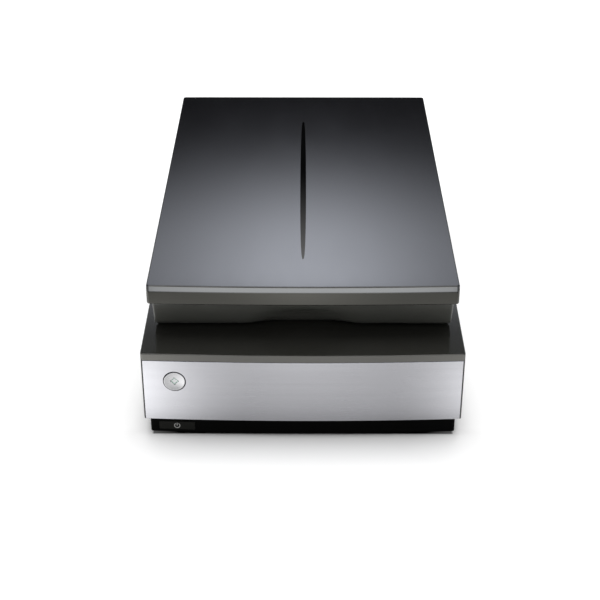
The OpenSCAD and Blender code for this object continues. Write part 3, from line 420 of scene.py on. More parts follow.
@dataclass(frozen=True)
class CircuitBoard:
    """Green solder mask with copper tracks under it and tinned pads."""

    name: str
    mask: Colour = (0.012, 0.085, 0.03)
    track: Colour = (0.03, 0.17, 0.06)
    pad: Colour = (0.62, 0.56, 0.36)

    def build(self) -> bpy.types.Material:
        """Makes the material."""
        tree = ShaderTree(self.name)
        where = tree.place()
        bricks = {"Scale": 90.0, "Mortar Size": 0.045, "Brick Width": 0.9, "Row Height": 0.16}
        layout = {"offset": 0.37, "offset_frequency": 3}
        lines = tree.value("ShaderNodeTexBrick", {"Vector": where} | bricks, layout, "Fac")
        spots = tree.cells(where, 260.0) < 0.16
        pads = spots * (tree.noise(where, 60.0, 1.0) > 0.52)
        board = tree.blend(lines, self.mask, self.track)
        return tree.surface(
            Base_Color=tree.blend(pads, board, self.pad),
            Metallic=pads,
            Roughness=0.28 + tree.noise(where, 300.0) * 0.1,
            Normal=tree.bump((lines + pads).clamped(), 0.03, 0.7),
        )


@dataclass(frozen=True)
class ClearGlass:
    """Float glass with a faint trace of cleaning."""

    name: str
    tint: Colour = (0.93, 0.98, 0.96)

    def build(self) -> bpy.types.Material:
        """Makes the material."""
        tree = ShaderTree(self.name)
        wipe = tree.noise(tree.place((30.0, 8.0, 1.0)), 1.0, 4.0)
        colour = tree.tones(self.tint, wipe, 0.985, 1.0)
        return tree.surface(
            Base_Color=colour, Roughness=wipe.power(4.0) * 0.06, IOR=1.52, Transmission_Weight=1.0
        )


@dataclass(frozen=True)
class SoftWhite:
    """White plastic, foam or card that spreads light."""

    name: str
    colour: Colour = (0.84, 0.85, 0.83)
    roughness: float = 0.55
    grain: float = 1100.0
    depth: float = 0.03

    def build(self) -> bpy.types.Material:
        """Makes the material."""
        tree = ShaderTree(self.name)
        where = tree.place()
        grain = tree.noise(where, self.grain, 3.0)
        age = tree.noise(where, 9.0, 2.0)
        colour = tree.tones(self.colour, age * 0.8 + grain * 0.2, 0.93, 1.0)
        return tree.surface(
            Base_Color=colour,
            Roughness=self.roughness + grain * 0.08,
            Normal=tree.bump(grain, self.depth, 0.5),
        )


@dataclass(frozen=True)
class BlackRubber:
    """Matt rubber with a fine bloom."""

    name: str
    colour: Colour = (0.018, 0.018, 0.018)

    def build(self) -> bpy.types.Material:
        """Makes the material."""
        tree = ShaderTree(self.name)
        where = tree.place()
        bloom = tree.noise(where, 240.0, 4.0)
        colour = tree.tones(self.colour, bloom, 0.7, 1.8)
        return tree.surface(
            Base_Color=colour, Roughness=0.68 + bloom * 0.2, Normal=tree.bump(bloom, 0.05, 0.6)
        )


# ---- Modelling with Blender's operators ----


class Part(Enum):
    """What kind of mesh element is picked."""

    VERTEX = ("VERT", "verts")
    EDGE = ("EDGE", "edges")
    FACE = ("FACE", "faces")


def pick(*objects: bpy.types.Object) -> None:
    """Selects these objects alone, the first one active."""
    bpy.ops.object.select_all(action="DESELECT")
    for each in objects:
        each.select_set(True)
    bpy.context.view_layer.objects.active = objects[0]


@contextmanager
def editing(obj: bpy.types.Object) -> Iterator[None]:
    """Edit mode on one object, with nothing selected at its start."""
    pick(obj)
    bpy.ops.object.mode_set(mode="EDIT")
    bpy.ops.mesh.select_all(action="DESELECT")
    yield
    bpy.ops.object.mode_set(mode="OBJECT")


def mark(obj: bpy.types.Object, part: Part, test: Callable) -> int:
    """Selects the elements of an open mesh that pass a test, and nothing else.

    Args:
        obj: the object that is open in edit mode.
        part: the kind of element.
        test: takes an element and says whether it is wanted.

    Returns:
        How many were selected.
    """
    mode, layer = part.value
    bpy.ops.mesh.select_mode(type=mode)
    bpy.ops.mesh.select_all(action="DESELECT")
    shape = bmesh.from_edit_mesh(obj.data)
    wanted = [element for element in getattr(shape, layer) if test(element)]
    for element in wanted:
        element.select_set(True)
    bmesh.update_edit_mesh(obj.data)
    return len(wanted)


def at(edge: bmesh.types.BMEdge) -> Vector:
    """The middle of an edge in millimetres."""
    return (edge.verts[0].co + edge.verts[1].co) / (2 * MM)


def upright(edge: bmesh.types.BMEdge) -> bool:
    """Whether an edge stands on end."""
    return abs((edge.verts[1].co - edge.verts[0].co).normalized().z) > 0.9


def started(name: str, size: Point = (1.0, 1.0, 1.0)) -> bpy.types.Object:
    """Names the primitive that was just added, sizes it and moves its transform into its mesh."""
    made = bpy.context.active_object
    made.name, made.scale = name, size
    pick(made)
    bpy.ops.object.transform_apply(location=True, rotation=True, scale=True)
    return made


def put(name: str, data: bpy.types.ID) -> bpy.types.Object:
    """Adds an object with this data to the scene."""
    made = bpy.data.objects.new(name, data)
    bpy.context.scene.collection.objects.link(made)
    return made


def modify(obj: bpy.types.Object, kind: str, **settings: object) -> None:
    """Gives an object a modifier with these settings and applies it."""
    pick(obj)
    made = obj.modifiers.new(kind.lower(), kind)
    for name, value in settings.items():
        setattr(made, name, value)
    bpy.ops.object.modifier_apply(modifier=made.name)


def block(name: str, low: Point, high: Point) -> bpy.types.Object:
    """A cube stretched between two corners in millimetres, as a start."""
    centre = tuple((a + b) / 2 * MM for a, b in zip(low, high))
    size = tuple((b - a) * MM for a, b in zip(low, high))
    bpy.ops.mesh.primitive_cube_add(size=1, location=centre)
    return started(name, size)


def disc(name: str, centre: Point, radius: float, depth: float, sides: int) -> bpy.types.Object:
    """A cylinder in millimetres along Y, as a start."""
    bpy.ops.mesh.primitive_cylinder_add(
        vertices=sides,
        radius=radius * MM,
        depth=depth * MM,
        location=tuple(c * MM for c in centre),
        rotation=(math.pi / 2, 0.0, 0.0),
    )
    return started(name)


def slices(obj: bpy.types.Object, axis: int, places: Sequence[float]) -> None:
    """Cuts a mesh right through at places in millimetres along an axis, and keeps both sides."""
    with editing(obj):
        for place in places:
            bpy.ops.mesh.select_all(action="SELECT")
            point, normal = [0.0] * 3, [0.0] * 3
            point[axis], normal[axis] = place * MM, 1.0
            bpy.ops.mesh.bisect(plane_co=point, plane_no=normal)


def round_edges(obj: bpy.types.Object, test: Callable, width: float, steps: int = 4) -> None:
    """Rounds the edges of a mesh that pass a test.

    Args:
        obj: the object.
        test: takes an edge and says whether it is rounded.
        width: the width of the rounding in millimetres.
        steps: the facets over the rounding.
    """
    with editing(obj):
        if mark(obj, Part.EDGE, test):
            bpy.ops.mesh.bevel(offset=width * MM, segments=steps, profile=0.5, clamp_overlap=False)


def carve(obj: bpy.types.Object, *cutters: bpy.types.Object) -> None:
    """Takes the cutters' space out of an object and deletes them."""
    for cutter in cutters:
        modify(obj, "BOOLEAN", operation="DIFFERENCE", solver="EXACT", object=cutter)
        bpy.data.objects.remove(cutter)


def mould(obj: bpy.types.Object, move: Callable[[Vector], Point]) -> None:
    """Moves each vertex by what a function gives for its place, both in millimetres.

    Args:
        obj: the object, in object mode.
        move: takes a place and gives a move.
    """
    groups: dict[Point, list[int]] = {}
    for vertex in obj.data.vertices:
        step = tuple(round(part, 3) for part in move(vertex.co / MM))
        if any(step):
            groups.setdefault(step, []).append(vertex.index)
    with editing(obj):
        for step, members in groups.items():
            chosen = set(members)
            mark(obj, Part.VERTEX, lambda v: v.index in chosen)
            bpy.ops.transform.translate(value=tuple(part * MM for part in step))


def crisp(edge: bmesh.types.BMEdge, least: float = 0.5) -> bool:
    """Whether the faces beside an edge meet at more than an angle in radians."""
    return len(edge.link_faces) == 2 and edge.calc_face_angle() > least


def keep_behind(obj: bpy.types.Object, y: float) -> None:
    """Cuts off what lies in front of a y in millimetres and closes the cut."""
    with editing(obj):
        bpy.ops.mesh.select_all(action="SELECT")
        bpy.ops.mesh.bisect(
            plane_co=(0.0, y * MM, 0.0), plane_no=(0.0, 1.0, 0.0), clear_inner=True, use_fill=True
        )


def join(main: bpy.types.Object, *others: bpy.types.Object) -> None:
    """Joins pieces of one material into the first of them."""
    pick(main, *others)
    bpy.ops.object.join()


def clean(obj: bpy.types.Object, flat: float = 0.02) -> None:
    """Merges double vertices and turns the faces outwards.

    Args:
        obj: the object, in object mode.
        flat: the angle in radians up to which needless vertices are dissolved, 0 to keep them all.
    """
    with editing(obj):
        bpy.ops.mesh.select_all(action="SELECT")
        bpy.ops.mesh.remove_doubles(threshold=0.000004)
        if flat:
            bpy.ops.mesh.dissolve_limited(angle_limit=flat)
            bpy.ops.mesh.select_all(action="SELECT")
        bpy.ops.mesh.normals_make_consistent(inside=False)


def smooth(obj: bpy.types.Object, angle: float = 32.0) -> None:
    """Smooth shading up to an angle in degrees, with large faces kept flat."""
    pick(obj)
    bpy.ops.object.shade_smooth_by_angle(angle=math.radians(angle))
    modify(obj, "WEIGHTED_NORMAL", keep_sharp=True, weight=80)


def copy_of(node: str, name: str) -> bpy.types.Object:
    """A copy of a CAD node with its own mesh, merged and cleaned."""
    made = put(name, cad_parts[node].data.copy())
    clean(made)
    return made


def bowed(x: float, half: float, rise: float) -> float:
    """How far a shallow arc stands forward at x, from 0 at its ends to rise in its middle."""
    radius = (half * half + rise * rise) / (2 * rise)
    return math.sqrt(radius * radius - x * x) - (radius - rise)


def spaced(low: float, high: float, count: int) -> list[float]:
    """Even places between two ends, without the ends."""
    return [low + (high - low) * n / count for n in range(1, count)]


# ---- Placing and dressing ----


@dataclass
class Piece:
    """One piece of the scene and what it stands for."""

    obj: bpy.types.Object
    body: str
    material: bpy.types.Material
    stands_for: str
    slot: str
    layers: list[tuple[bpy.types.Material, Callable]] = field(default_factory=list)

    def paint(self, material: bpy.types.Material, test: Callable) -> "Piece":
        """Gives the faces that pass a test another finish.

        Args:
            material: the finish.
            test: takes a polygon and says whether it gets the finish.

        Returns:
            The piece itself.
        """
        self.layers.append((material, test))
        return self

    def place(self) -> None:
        """Gives the piece its materials and its body, and hides the CAD node it stands for."""
        self.obj.data.materials.clear()
        for material in (self.material, *(layer[0] for layer in self.layers)):
            self.obj.data.materials.append(material)
        for face in self.obj.data.polygons:
            worn = [index for index, layer in enumerate(self.layers, 1) if layer[1](face)]
            face.material_index = worn[0] if worn else 0
        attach(self.obj, self.body)
        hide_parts(self.stands_for)
        log.info("%s: %d faces", self.obj.name, len(self.obj.data.polygons))


# ---- The lid ----


@dataclass
class LidCover:
    """Glossy cover of the lid, with a bowed front, a bevelled brow and a leaf-shaped grip."""

    half: float = 148.0
    front: float = -220.4
    back: float = 248.1
    low: float = 133.0
    high: float = 152.0
    bow: float = 3.0
    columns: int = 32
    corner: float = 3.0
    bevel_high: float = 5.4
    bevel_in: float = 2.4
    top_round: float = 1.2
    crease_round: float = 0.7
    brow_round: float = 1.3
    wall: float = 2.5
    roof: float = 3.0
    groove: tuple[float, float] = (-166.4, 170.6)
    groove_half: float = 3.1
    groove_depth: float = 2.0
    groove_columns: int = 10
    groove_rows: int = 36
    shallow_end: float = 0.12
    deep_from: float = 0.6

    def build(self, palette: "Palette") -> list[Piece]:
        """Models the cover."""
        cover = self.slab()
        crease = self.high - self.bevel_high
        slices(cover, 2, [crease])
        inward = (0.0, self.bevel_in, 0.0)
        mould(cover, lambda p: inward if p.z > self.high - SLACK and self.ahead(p) else STILL)
        round_edges(cover, lambda e: crisp(e) and at(e).z > self.high - SLACK, self.top_round, 5)
        round_edges(cover, lambda e: abs(at(e).z - crease) < SLACK and crisp(e, 0.2), self.crease_round, 3)
        round_edges(cover, lambda e: crisp(e) and at(e).z < self.low + SLACK, self.brow_round, 4)
        with editing(cover):
            mark(cover, Part.FACE, lambda f: f.normal.z < -0.99)
            bpy.ops.mesh.inset(thickness=(self.wall - self.brow_round) * MM)
            hollow = self.high - self.roof - self.low
            bpy.ops.mesh.extrude_region_move(TRANSFORM_OT_translate={"value": (0.0, 0.0, hollow * MM)})
        clean(cover, 0.0004)
        carve(cover, self.cutter())
        smooth(cover, 30.0)
        return [
            Piece(cover, "lid", palette.lid, "lid_cover", "lid_gloss")
            .paint(palette.bevel, lambda f: f.normal.y < -0.7 and 0.15 < f.normal.z < 0.8)
            # front faces get a lighter, warmer copy of the lacquer, painted light
            .paint(palette.brow, lambda f: f.normal.y < -0.7 and f.normal.z <= 0.15)
            # the grip floor is painted black towards the back of the groove, as painted shade
            .paint(palette.grip, lambda f: self.in_grip(f.center / MM))
        ]

    def slab(self) -> bpy.types.Object:
        """The solid cover with its bowed front and rounded upright corners."""
        made = block("lid_shell", (-self.half, self.front, self.low), (self.half, self.back, self.high))
        slices(made, 0, spaced(-self.half, self.half, self.columns))
        mould(made, lambda p: (0.0, -bowed(p.x, self.half, self.bow), 0.0) if self.ahead(p) else STILL)
        round_edges(made, lambda e: upright(e) and self.half - abs(at(e).x) < SLACK, self.corner, 6)
        with editing(made):
            mark(made, Part.FACE, lambda f: abs(f.normal.z) > 0.999)
            bpy.ops.mesh.dissolve_faces(use_verts=False)
        return made

    def ahead(self, place: Vector) -> bool:
        """Whether a place lies on the cover's front or in its rounded corners."""
        return place.y < self.front + self.corner + 1.0

    def in_grip(self, place: Vector) -> bool:
        """Whether the middle of a face lies in the grip's trough."""
        near, far = self.groove
        inside = abs(place.x) < self.groove_half + SLACK and near - 1.0 < place.y < far + 1.0
        return inside and self.high - self.groove_depth - SLACK < place.z < self.high - 0.005

    def half_width(self, along: float) -> float:
        """Half the grip's width at a share of its length from the front."""
        return max(self.groove_half * (4.0 * along * (1.0 - along)) ** 0.33, 0.04)

    def depth(self, along: float) -> float:
        """The grip's depth in its middle, which grows from its front end."""
        depth = self.shallow_end + (1.0 - self.shallow_end) * min(along / self.deep_from, 1.0) ** 1.3
        return self.groove_depth * depth * (0.3 + 0.7 * self.half_width(along) / self.groove_half)

    def cutter(self) -> bpy.types.Object:
        """The solid that cuts the leaf-shaped grip, with a rounded trough for its floor."""
        near, far = self.groove
        made = block("grip_cutter", (-1.0, near, self.high - 1.0), (1.0, far, self.high + 1.0))
        slices(made, 0, spaced(-1.0, 1.0, self.groove_columns))
        turns = [math.pi * n / self.groove_rows for n in range(1, self.groove_rows)]
        slices(made, 1, [near + (far - near) * (1 - math.cos(turn)) / 2 for turn in turns])

        def trough(place: Vector) -> Point:
            """The move of a vertex of the cutter."""
            along = min(max((place.y - near) / (far - near), 0.0), 1.0)
            rise = 0.0
            if place.z < self.high:
                rise = 1.0 - max(self.depth(along) * (1.0 - place.x**2), 0.03)
            return (place.x * (self.half_width(along) - 1.0), 0.0, rise)

        mould(made, trough)
        return made


@dataclass
class LidTray:
    """Dark tray under the cover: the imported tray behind, and a smooth lip with a finger scoop in front.

    Each of the lip's rows holds y and z of its plain section, then y and z in the middle of the scoop.
    """

    half: float = 143.5
    split: float = -190.0
    columns: int = 48
    wall: float = 2.4
    scoop_half: float = 58.0
    scoop_flat: float = 8.0
    lift_start: float = 134.0
    lift: float = 0.8
    corner: float = 2.0
    corner_low: float = 103.0
    rows: tuple[tuple[float, float, float, float], ...] = (
        (-190.0, 96.8, -190.0, 96.8),
        (-194.2, 97.6, -193.6, 100.2),
        (-198.2, 99.0, -196.2, 104.4),
        (-201.6, 100.6, -198.4, 108.6),
        (-204.0, 102.9, -201.2, 113.0),
        (-206.5, 108.0, -204.6, 117.0),
        (-209.2, 114.0, -208.6, 120.4),
        (-211.9, 120.0, -212.5, 124.0),
        (-214.6, 126.0, -214.9, 127.6),
        (-216.4, 131.5, -216.3, 131.5),
        (-216.5, 134.5, -216.5, 134.5),
    )

    def build(self, palette: "Palette") -> list[Piece]:
        """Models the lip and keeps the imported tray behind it."""
        rear = copy_of("lid_tray", "tray_rear")
        keep_behind(rear, self.split)
        smooth(rear)
        return [Piece(each, "lid", palette.tray, "lid_tray", "tray_plastic") for each in (rear, self.lip())]

    def lip(self) -> bpy.types.Object:
        """The front of the tray as one smooth wall."""
        steps = len(self.rows) - 1
        bpy.ops.mesh.primitive_grid_add(x_subdivisions=self.columns, y_subdivisions=steps, size=2.0)
        made = started("tray_lip", (self.half * MM, steps * 0.5 * MM, 1.0))

        def form(place: Vector) -> Point:
            """The move of a vertex of the flat grid."""
            row = round(place.y + steps * 0.5)
            scoop = self.scoop(abs(place.x))
            plain_y, plain_z, scoop_y, scoop_z = self.rows[row]
            y = plain_y * (1 - scoop) + scoop_y * scoop
            z = plain_z * (1 - scoop) + scoop_z * scoop
            return (0.0, y - place.y, z + self.corner_lift(abs(place.x)) * (1.0 - row / steps) - place.z)

        mould(made, form)
        self.close_ends(made)
        modify(made, "SOLIDIFY", thickness=self.wall * MM, offset=-1.0)
        clean(made, 0.0004)
        smooth(made, 50.0)
        return made

    def close_ends(self, lip: bpy.types.Object) -> None:
        """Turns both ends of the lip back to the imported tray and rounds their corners."""
        pull = 100.0
        with editing(lip):
            mark(lip, Part.EDGE, lambda e: all(abs(abs(v.co.x) - self.half * MM) < 1e-6 for v in e.verts))
            bpy.ops.mesh.extrude_region_move(TRANSFORM_OT_translate={"value": (0.0, pull * MM, 0.0)})
        mould(lip, lambda p: (0.0, self.split - p.y, 0.0) if p.y > self.split + SLACK else STILL)
        clean(lip, 0.0)

        def on_corner(edge: bmesh.types.BMEdge) -> bool:
            """Whether an edge is a corner of the lip that is rounded."""
            return self.half - abs(at(edge).x) < 0.01 and at(edge).z > self.corner_low and crisp(edge, 1.0)

        round_edges(lip, on_corner, self.corner, 4)

    def scoop(self, x: float) -> float:
        """How much of the finger scoop there is at x."""
        share = min(max((self.scoop_half - x) / (self.scoop_half - self.scoop_flat), 0.0), 1.0)
        return share * share * (3.0 - 2.0 * share)

    def corner_lift(self, x: float) -> float:
        """How far the lower edge rises towards the corner at x."""
        share = max((x - self.lift_start) / (self.half - self.lift_start), 0.0)
        return self.lift * share * share


# ---- The base ----


@dataclass
class TopFrame:
    """Dark frame round the glass, with a rounded outer edge and a front face painted lighter as a painted
    highlight.
    """

    top: float = 94.5
    edge: float = 151.0
    front: float = -246.8
    back: float = 250.0
    outer_round: float = 0.9

    def build(self, palette: "Palette") -> list[Piece]:
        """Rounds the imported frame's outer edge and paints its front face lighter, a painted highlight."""
        made = copy_of("top_frame", "platen_frame")
        round_edges(made, lambda e: crisp(e) and self.outside(at(e)), self.outer_round, 4)
        smooth(made)
        return [
            # the front face gets a lighter copy of the frame lacquer, a painted highlight
            Piece(made, "base", palette.frame, "top_frame", "frame_gloss").paint(
                palette.painted_lit_front, lambda f: f.normal.y < -0.75 and f.center.y < self.front * MM
            )
        ]

    def outside(self, place: Vector) -> bool:
        """Whether a place lies on the frame's outer edge, at its top."""
        beyond = abs(place.x) > self.edge or place.y < self.front or place.y > self.back
        return place.z > self.top - 0.01 and beyond


@dataclass
class FrontPanel:
    """Bowed silver panel with the hole of the start button, its rounded rim painted dark as painted shade in
    the gap round the button.
    """

    half: float = 152.2
    chord: float = 151.0
    bow: float = 4.0
    front: float = -247.5
    low: float = 19.8
    high: float = 86.9
    thick: float = 2.5
    hole: Point = (-122.5, -249.0, 64.2)
    hole_d: float = 21.2
    edge_round: float = 0.4
    rim: float = 0.45
    columns: int = 48
    clear: float = 2.5
    cutter_long: float = 12.0

    def build(self, palette: "Palette") -> list[Piece]:
        """Models the panel."""
        back = self.front + self.thick
        made = block("silver_front", (-self.half, self.front, self.low), (self.half, back, self.high))
        middle, clear = self.hole[0], self.hole_d / 2 + self.clear
        columns = [x for x in spaced(-self.half, self.half, self.columns) if abs(x - middle) > clear + 1.0]
        slices(made, 0, columns + [middle - clear, middle + clear])
        mould(made, lambda p: (0.0, -bowed(p.x, self.chord, self.bow), 0.0))
        round_edges(made, lambda e: crisp(e) and at(e).y < self.front, self.edge_round, 3)
        carve(made, disc("hole_cutter", self.hole, self.hole_d / 2, self.cutter_long, ROUND))
        round_edges(made, self.on_rim, self.rim, 3)
        clean(made, 0.0003)
        smooth(made)
        rim_end = self.hole_d / 2 + self.rim
        return [
            # the hole's rim is painted dark, painted shade in the gap round the button
            Piece(made, "base", palette.silver, "front_panel", "silver_panel").paint(
                palette.rim, lambda f: f.normal.y > -0.985 and self.from_hole(f.center / MM) < rim_end
            )
        ]

    def from_hole(self, place: Vector) -> float:
        """Distance of a place from the hole's axis."""
        return math.hypot(place.x - self.hole[0], place.z - self.hole[2])

    def on_rim(self, edge: bmesh.types.BMEdge) -> bool:
        """Whether an edge is the hole's front rim."""
        near = abs(self.from_hole(at(edge)) - self.hole_d / 2) < SLACK
        return near and crisp(edge) and at(edge).y < self.front


@dataclass
class StartButton:
    """Dished round start button with its diamond-shaped light."""

    centre: Point = (-122.5, -248.0, 64.2)
    radius: float = 10.2
    face: float = -249.45
    cut: float = -246.0
    rim: float = 0.4
    dish: float = 1.2
    rings: tuple[float, ...] = (0.6, 1.3, 1.4, 1.4, 1.3, 1.2, 1.1)
    light: float = 5.0
    light_line: float = 0.6
    light_gap: float = 0.08
    light_sunk: float = 0.1
    light_dip: float = 0.25
    light_round: float = 0.08
    light_back: float = -246.4
    cutter_front: float = -260.0

    def build(self, palette: "Palette") -> list[Piece]:
        """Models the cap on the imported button's stem, and the light."""
        return [
            Piece(self.cap(), "start_key", palette.button, "start_button", "silver_button"),
            Piece(self.lamp(), "start_key", palette.light, "start_light", "light_guide").paint(
                palette.button, self.in_light
            ),
        ]

    def cap(self) -> bpy.types.Object:
        """The dished cap with its stem."""
        x, _, z = self.centre
        cap = disc("start_cap", (x, (self.face + self.cut) / 2, z), self.radius, self.cut - self.face, ROUND)
        reach = self.radius
        for ring in self.rings:
            with editing(cap):
                mark(cap, Part.FACE, lambda f: f.normal.y < -0.9 and len(f.verts) > ROUND / 2)
                bpy.ops.mesh.inset(thickness=ring * MM)
                sink = self.hollow(reach - ring) - self.hollow(reach)
                bpy.ops.transform.translate(value=(0.0, sink * MM, 0.0))
            reach -= ring
        round_edges(cap, lambda e: crisp(e) and at(e).y < self.face + 0.3, self.rim, 4)
        stem = copy_of("start_button", "start_stem")
        keep_behind(stem, self.cut)
        carve(cap, self.diamond("light_cutter", self.light + 2 * self.light_gap, self.cutter_front))
        join(cap, stem)
        smooth(cap)
        return cap

    def lamp(self) -> bpy.types.Object:
        """The light's raised border round its dipped middle."""
        lamp = self.diamond("start_diamond", self.light, self.face + self.dish - self.light_sunk)
        with editing(lamp):
            mark(lamp, Part.FACE, lambda f: f.normal.y < -0.9)
            bpy.ops.mesh.inset(thickness=self.light_line * MM)
            bpy.ops.transform.translate(value=(0.0, self.light_dip * MM, 0.0))
        width, angle = self.light_round * MM, math.radians(35.0)
        modify(lamp, "BEVEL", width=width, segments=2, limit_method="ANGLE", angle_limit=angle)
        smooth(lamp)
        return lamp

    def in_light(self, face: bpy.types.MeshPolygon) -> bool:
        """Whether a face is the light's dipped middle."""
        x, y, z = face.center / MM
        reach = (self.light / 2 - self.light_line - 0.1) * math.sqrt(2.0)
        return abs(x - self.centre[0]) + abs(z - self.centre[2]) < reach and y < self.face + self.dish + 1.0

    def diamond(self, name: str, side: float, near: float) -> bpy.types.Object:
        """A square bar from near on Y, stood on its corner at the button's middle."""
        x, _, z = self.centre
        middle = (x, (near + self.light_back) / 2, z)
        return disc(name, middle, side / math.sqrt(2.0), self.light_back - near, 4)

    def hollow(self, radius: float) -> float:
        """Depth of the dish at a radius."""
        inner = self.radius - self.rings[0]
        return self.dish * max(1.0 - (radius / inner) ** 2, 0.0)


@dataclass
class PowerButton:
    """Broad power button in the plinth, with a generic on and off mark printed on it."""

    low: Point = (-140.0, -244.9, 6.0)
    high: Point = (-105.0, -239.0, 15.0)
    chord: float = 145.5
    bow: float = 4.0
    edge_round: float = 0.4
    mark_centre: tuple[float, float] = (-122.5, 10.5)
    mark_d: float = 6.0
    line: float = 0.75
    rise: float = 0.05
    sunk: float = 0.3
    opening: float = 2.6
    sides: int = 64

    def build(self, palette: "Palette") -> list[Piece]:
        """Models the button and its mark."""
        key = block("power_key_cap", self.low, self.high)
        slices(key, 0, spaced(self.low[0], self.high[0], 14))
        mould(key, self.follow)
        round_edges(key, crisp, self.edge_round, 3)
        clean(key, 0.0003)
        smooth(key)
        return [
            Piece(key, "power_key", palette.dark_button, "power_button", "dark_button"),
            Piece(self.mark(), "power_key", palette.icon, "power_ring", "icon_grey"),
        ]

    def mark(self) -> bpy.types.Object:
        """A ring that is open at its top, with a bar in the opening."""
        x, z = self.mark_centre
        near, far = self.low[1] - self.rise, self.low[1] + self.sunk
        middle = (x, (near + far) / 2, z)
        radius, side, gap = self.mark_d / 2, self.line / 2, self.opening / 2
        made = disc("power_mark", middle, radius, far - near, self.sides)
        inner = disc("mark_inner", middle, radius - self.line, 2.0, self.sides)
        carve(made, inner, block("mark_gap", (x - gap, near - 1.0, z), (x + gap, far + 1.0, z + self.mark_d)))
        bar = block("mark_bar", (x - side, near, z), (x + side, far, z + radius + 0.2))
        join(made, bar)
        mould(made, self.follow)
        clean(made, 0.0003)
        smooth(made)
        return made

    def follow(self, place: Vector) -> Point:
        """The move that lays a place on the plinth's bow."""
        return (0.0, -bowed(place.x, self.chord, self.bow), 0.0)


@dataclass
class Casing:
    """Packed lower casing, charcoal above, with its set-back plinth painted near black as painted shade under
    the silver panel.
    """

    plinth_top: float = 19.85

    def build(self, palette: "Palette") -> list[Piece]:
        """Dresses the casing."""
        made = copy_of("lower_case", "casing")
        smooth(made)
        return [
            # the plinth is painted near black, painted shade under the silver panel
            Piece(made, "base", palette.case, "lower_case", "case_plastic").paint(
                palette.plinth, lambda f: f.center.z < self.plinth_top * MM
            )
        ]


PIECES: tuple = (
    LidCover(),
    LidTray(),
    TopFrame(),
    FrontPanel(),
    StartButton(),
    PowerButton(),
    Casing(),
)


# ---- Studio ----


@dataclass
class SoftLight:
    """A square softbox that looks at a point, sizes and places in metres."""

    name: str
    place: Point
    target: Point
    size: tuple[float, float]
    power: float

    def build(self) -> None:
        """Adds the lamp."""
        lamp = bpy.data.lights.new(self.name, "AREA")
        lamp.shape = "RECTANGLE"
        lamp.size, lamp.size_y = self.size
        lamp.energy = self.power
        made = put(self.name, lamp)
        made.location = self.place
        way = Vector(self.target) - Vector(self.place)
        made.rotation_euler = way.to_track_quat("-Z", "Y").to_euler()


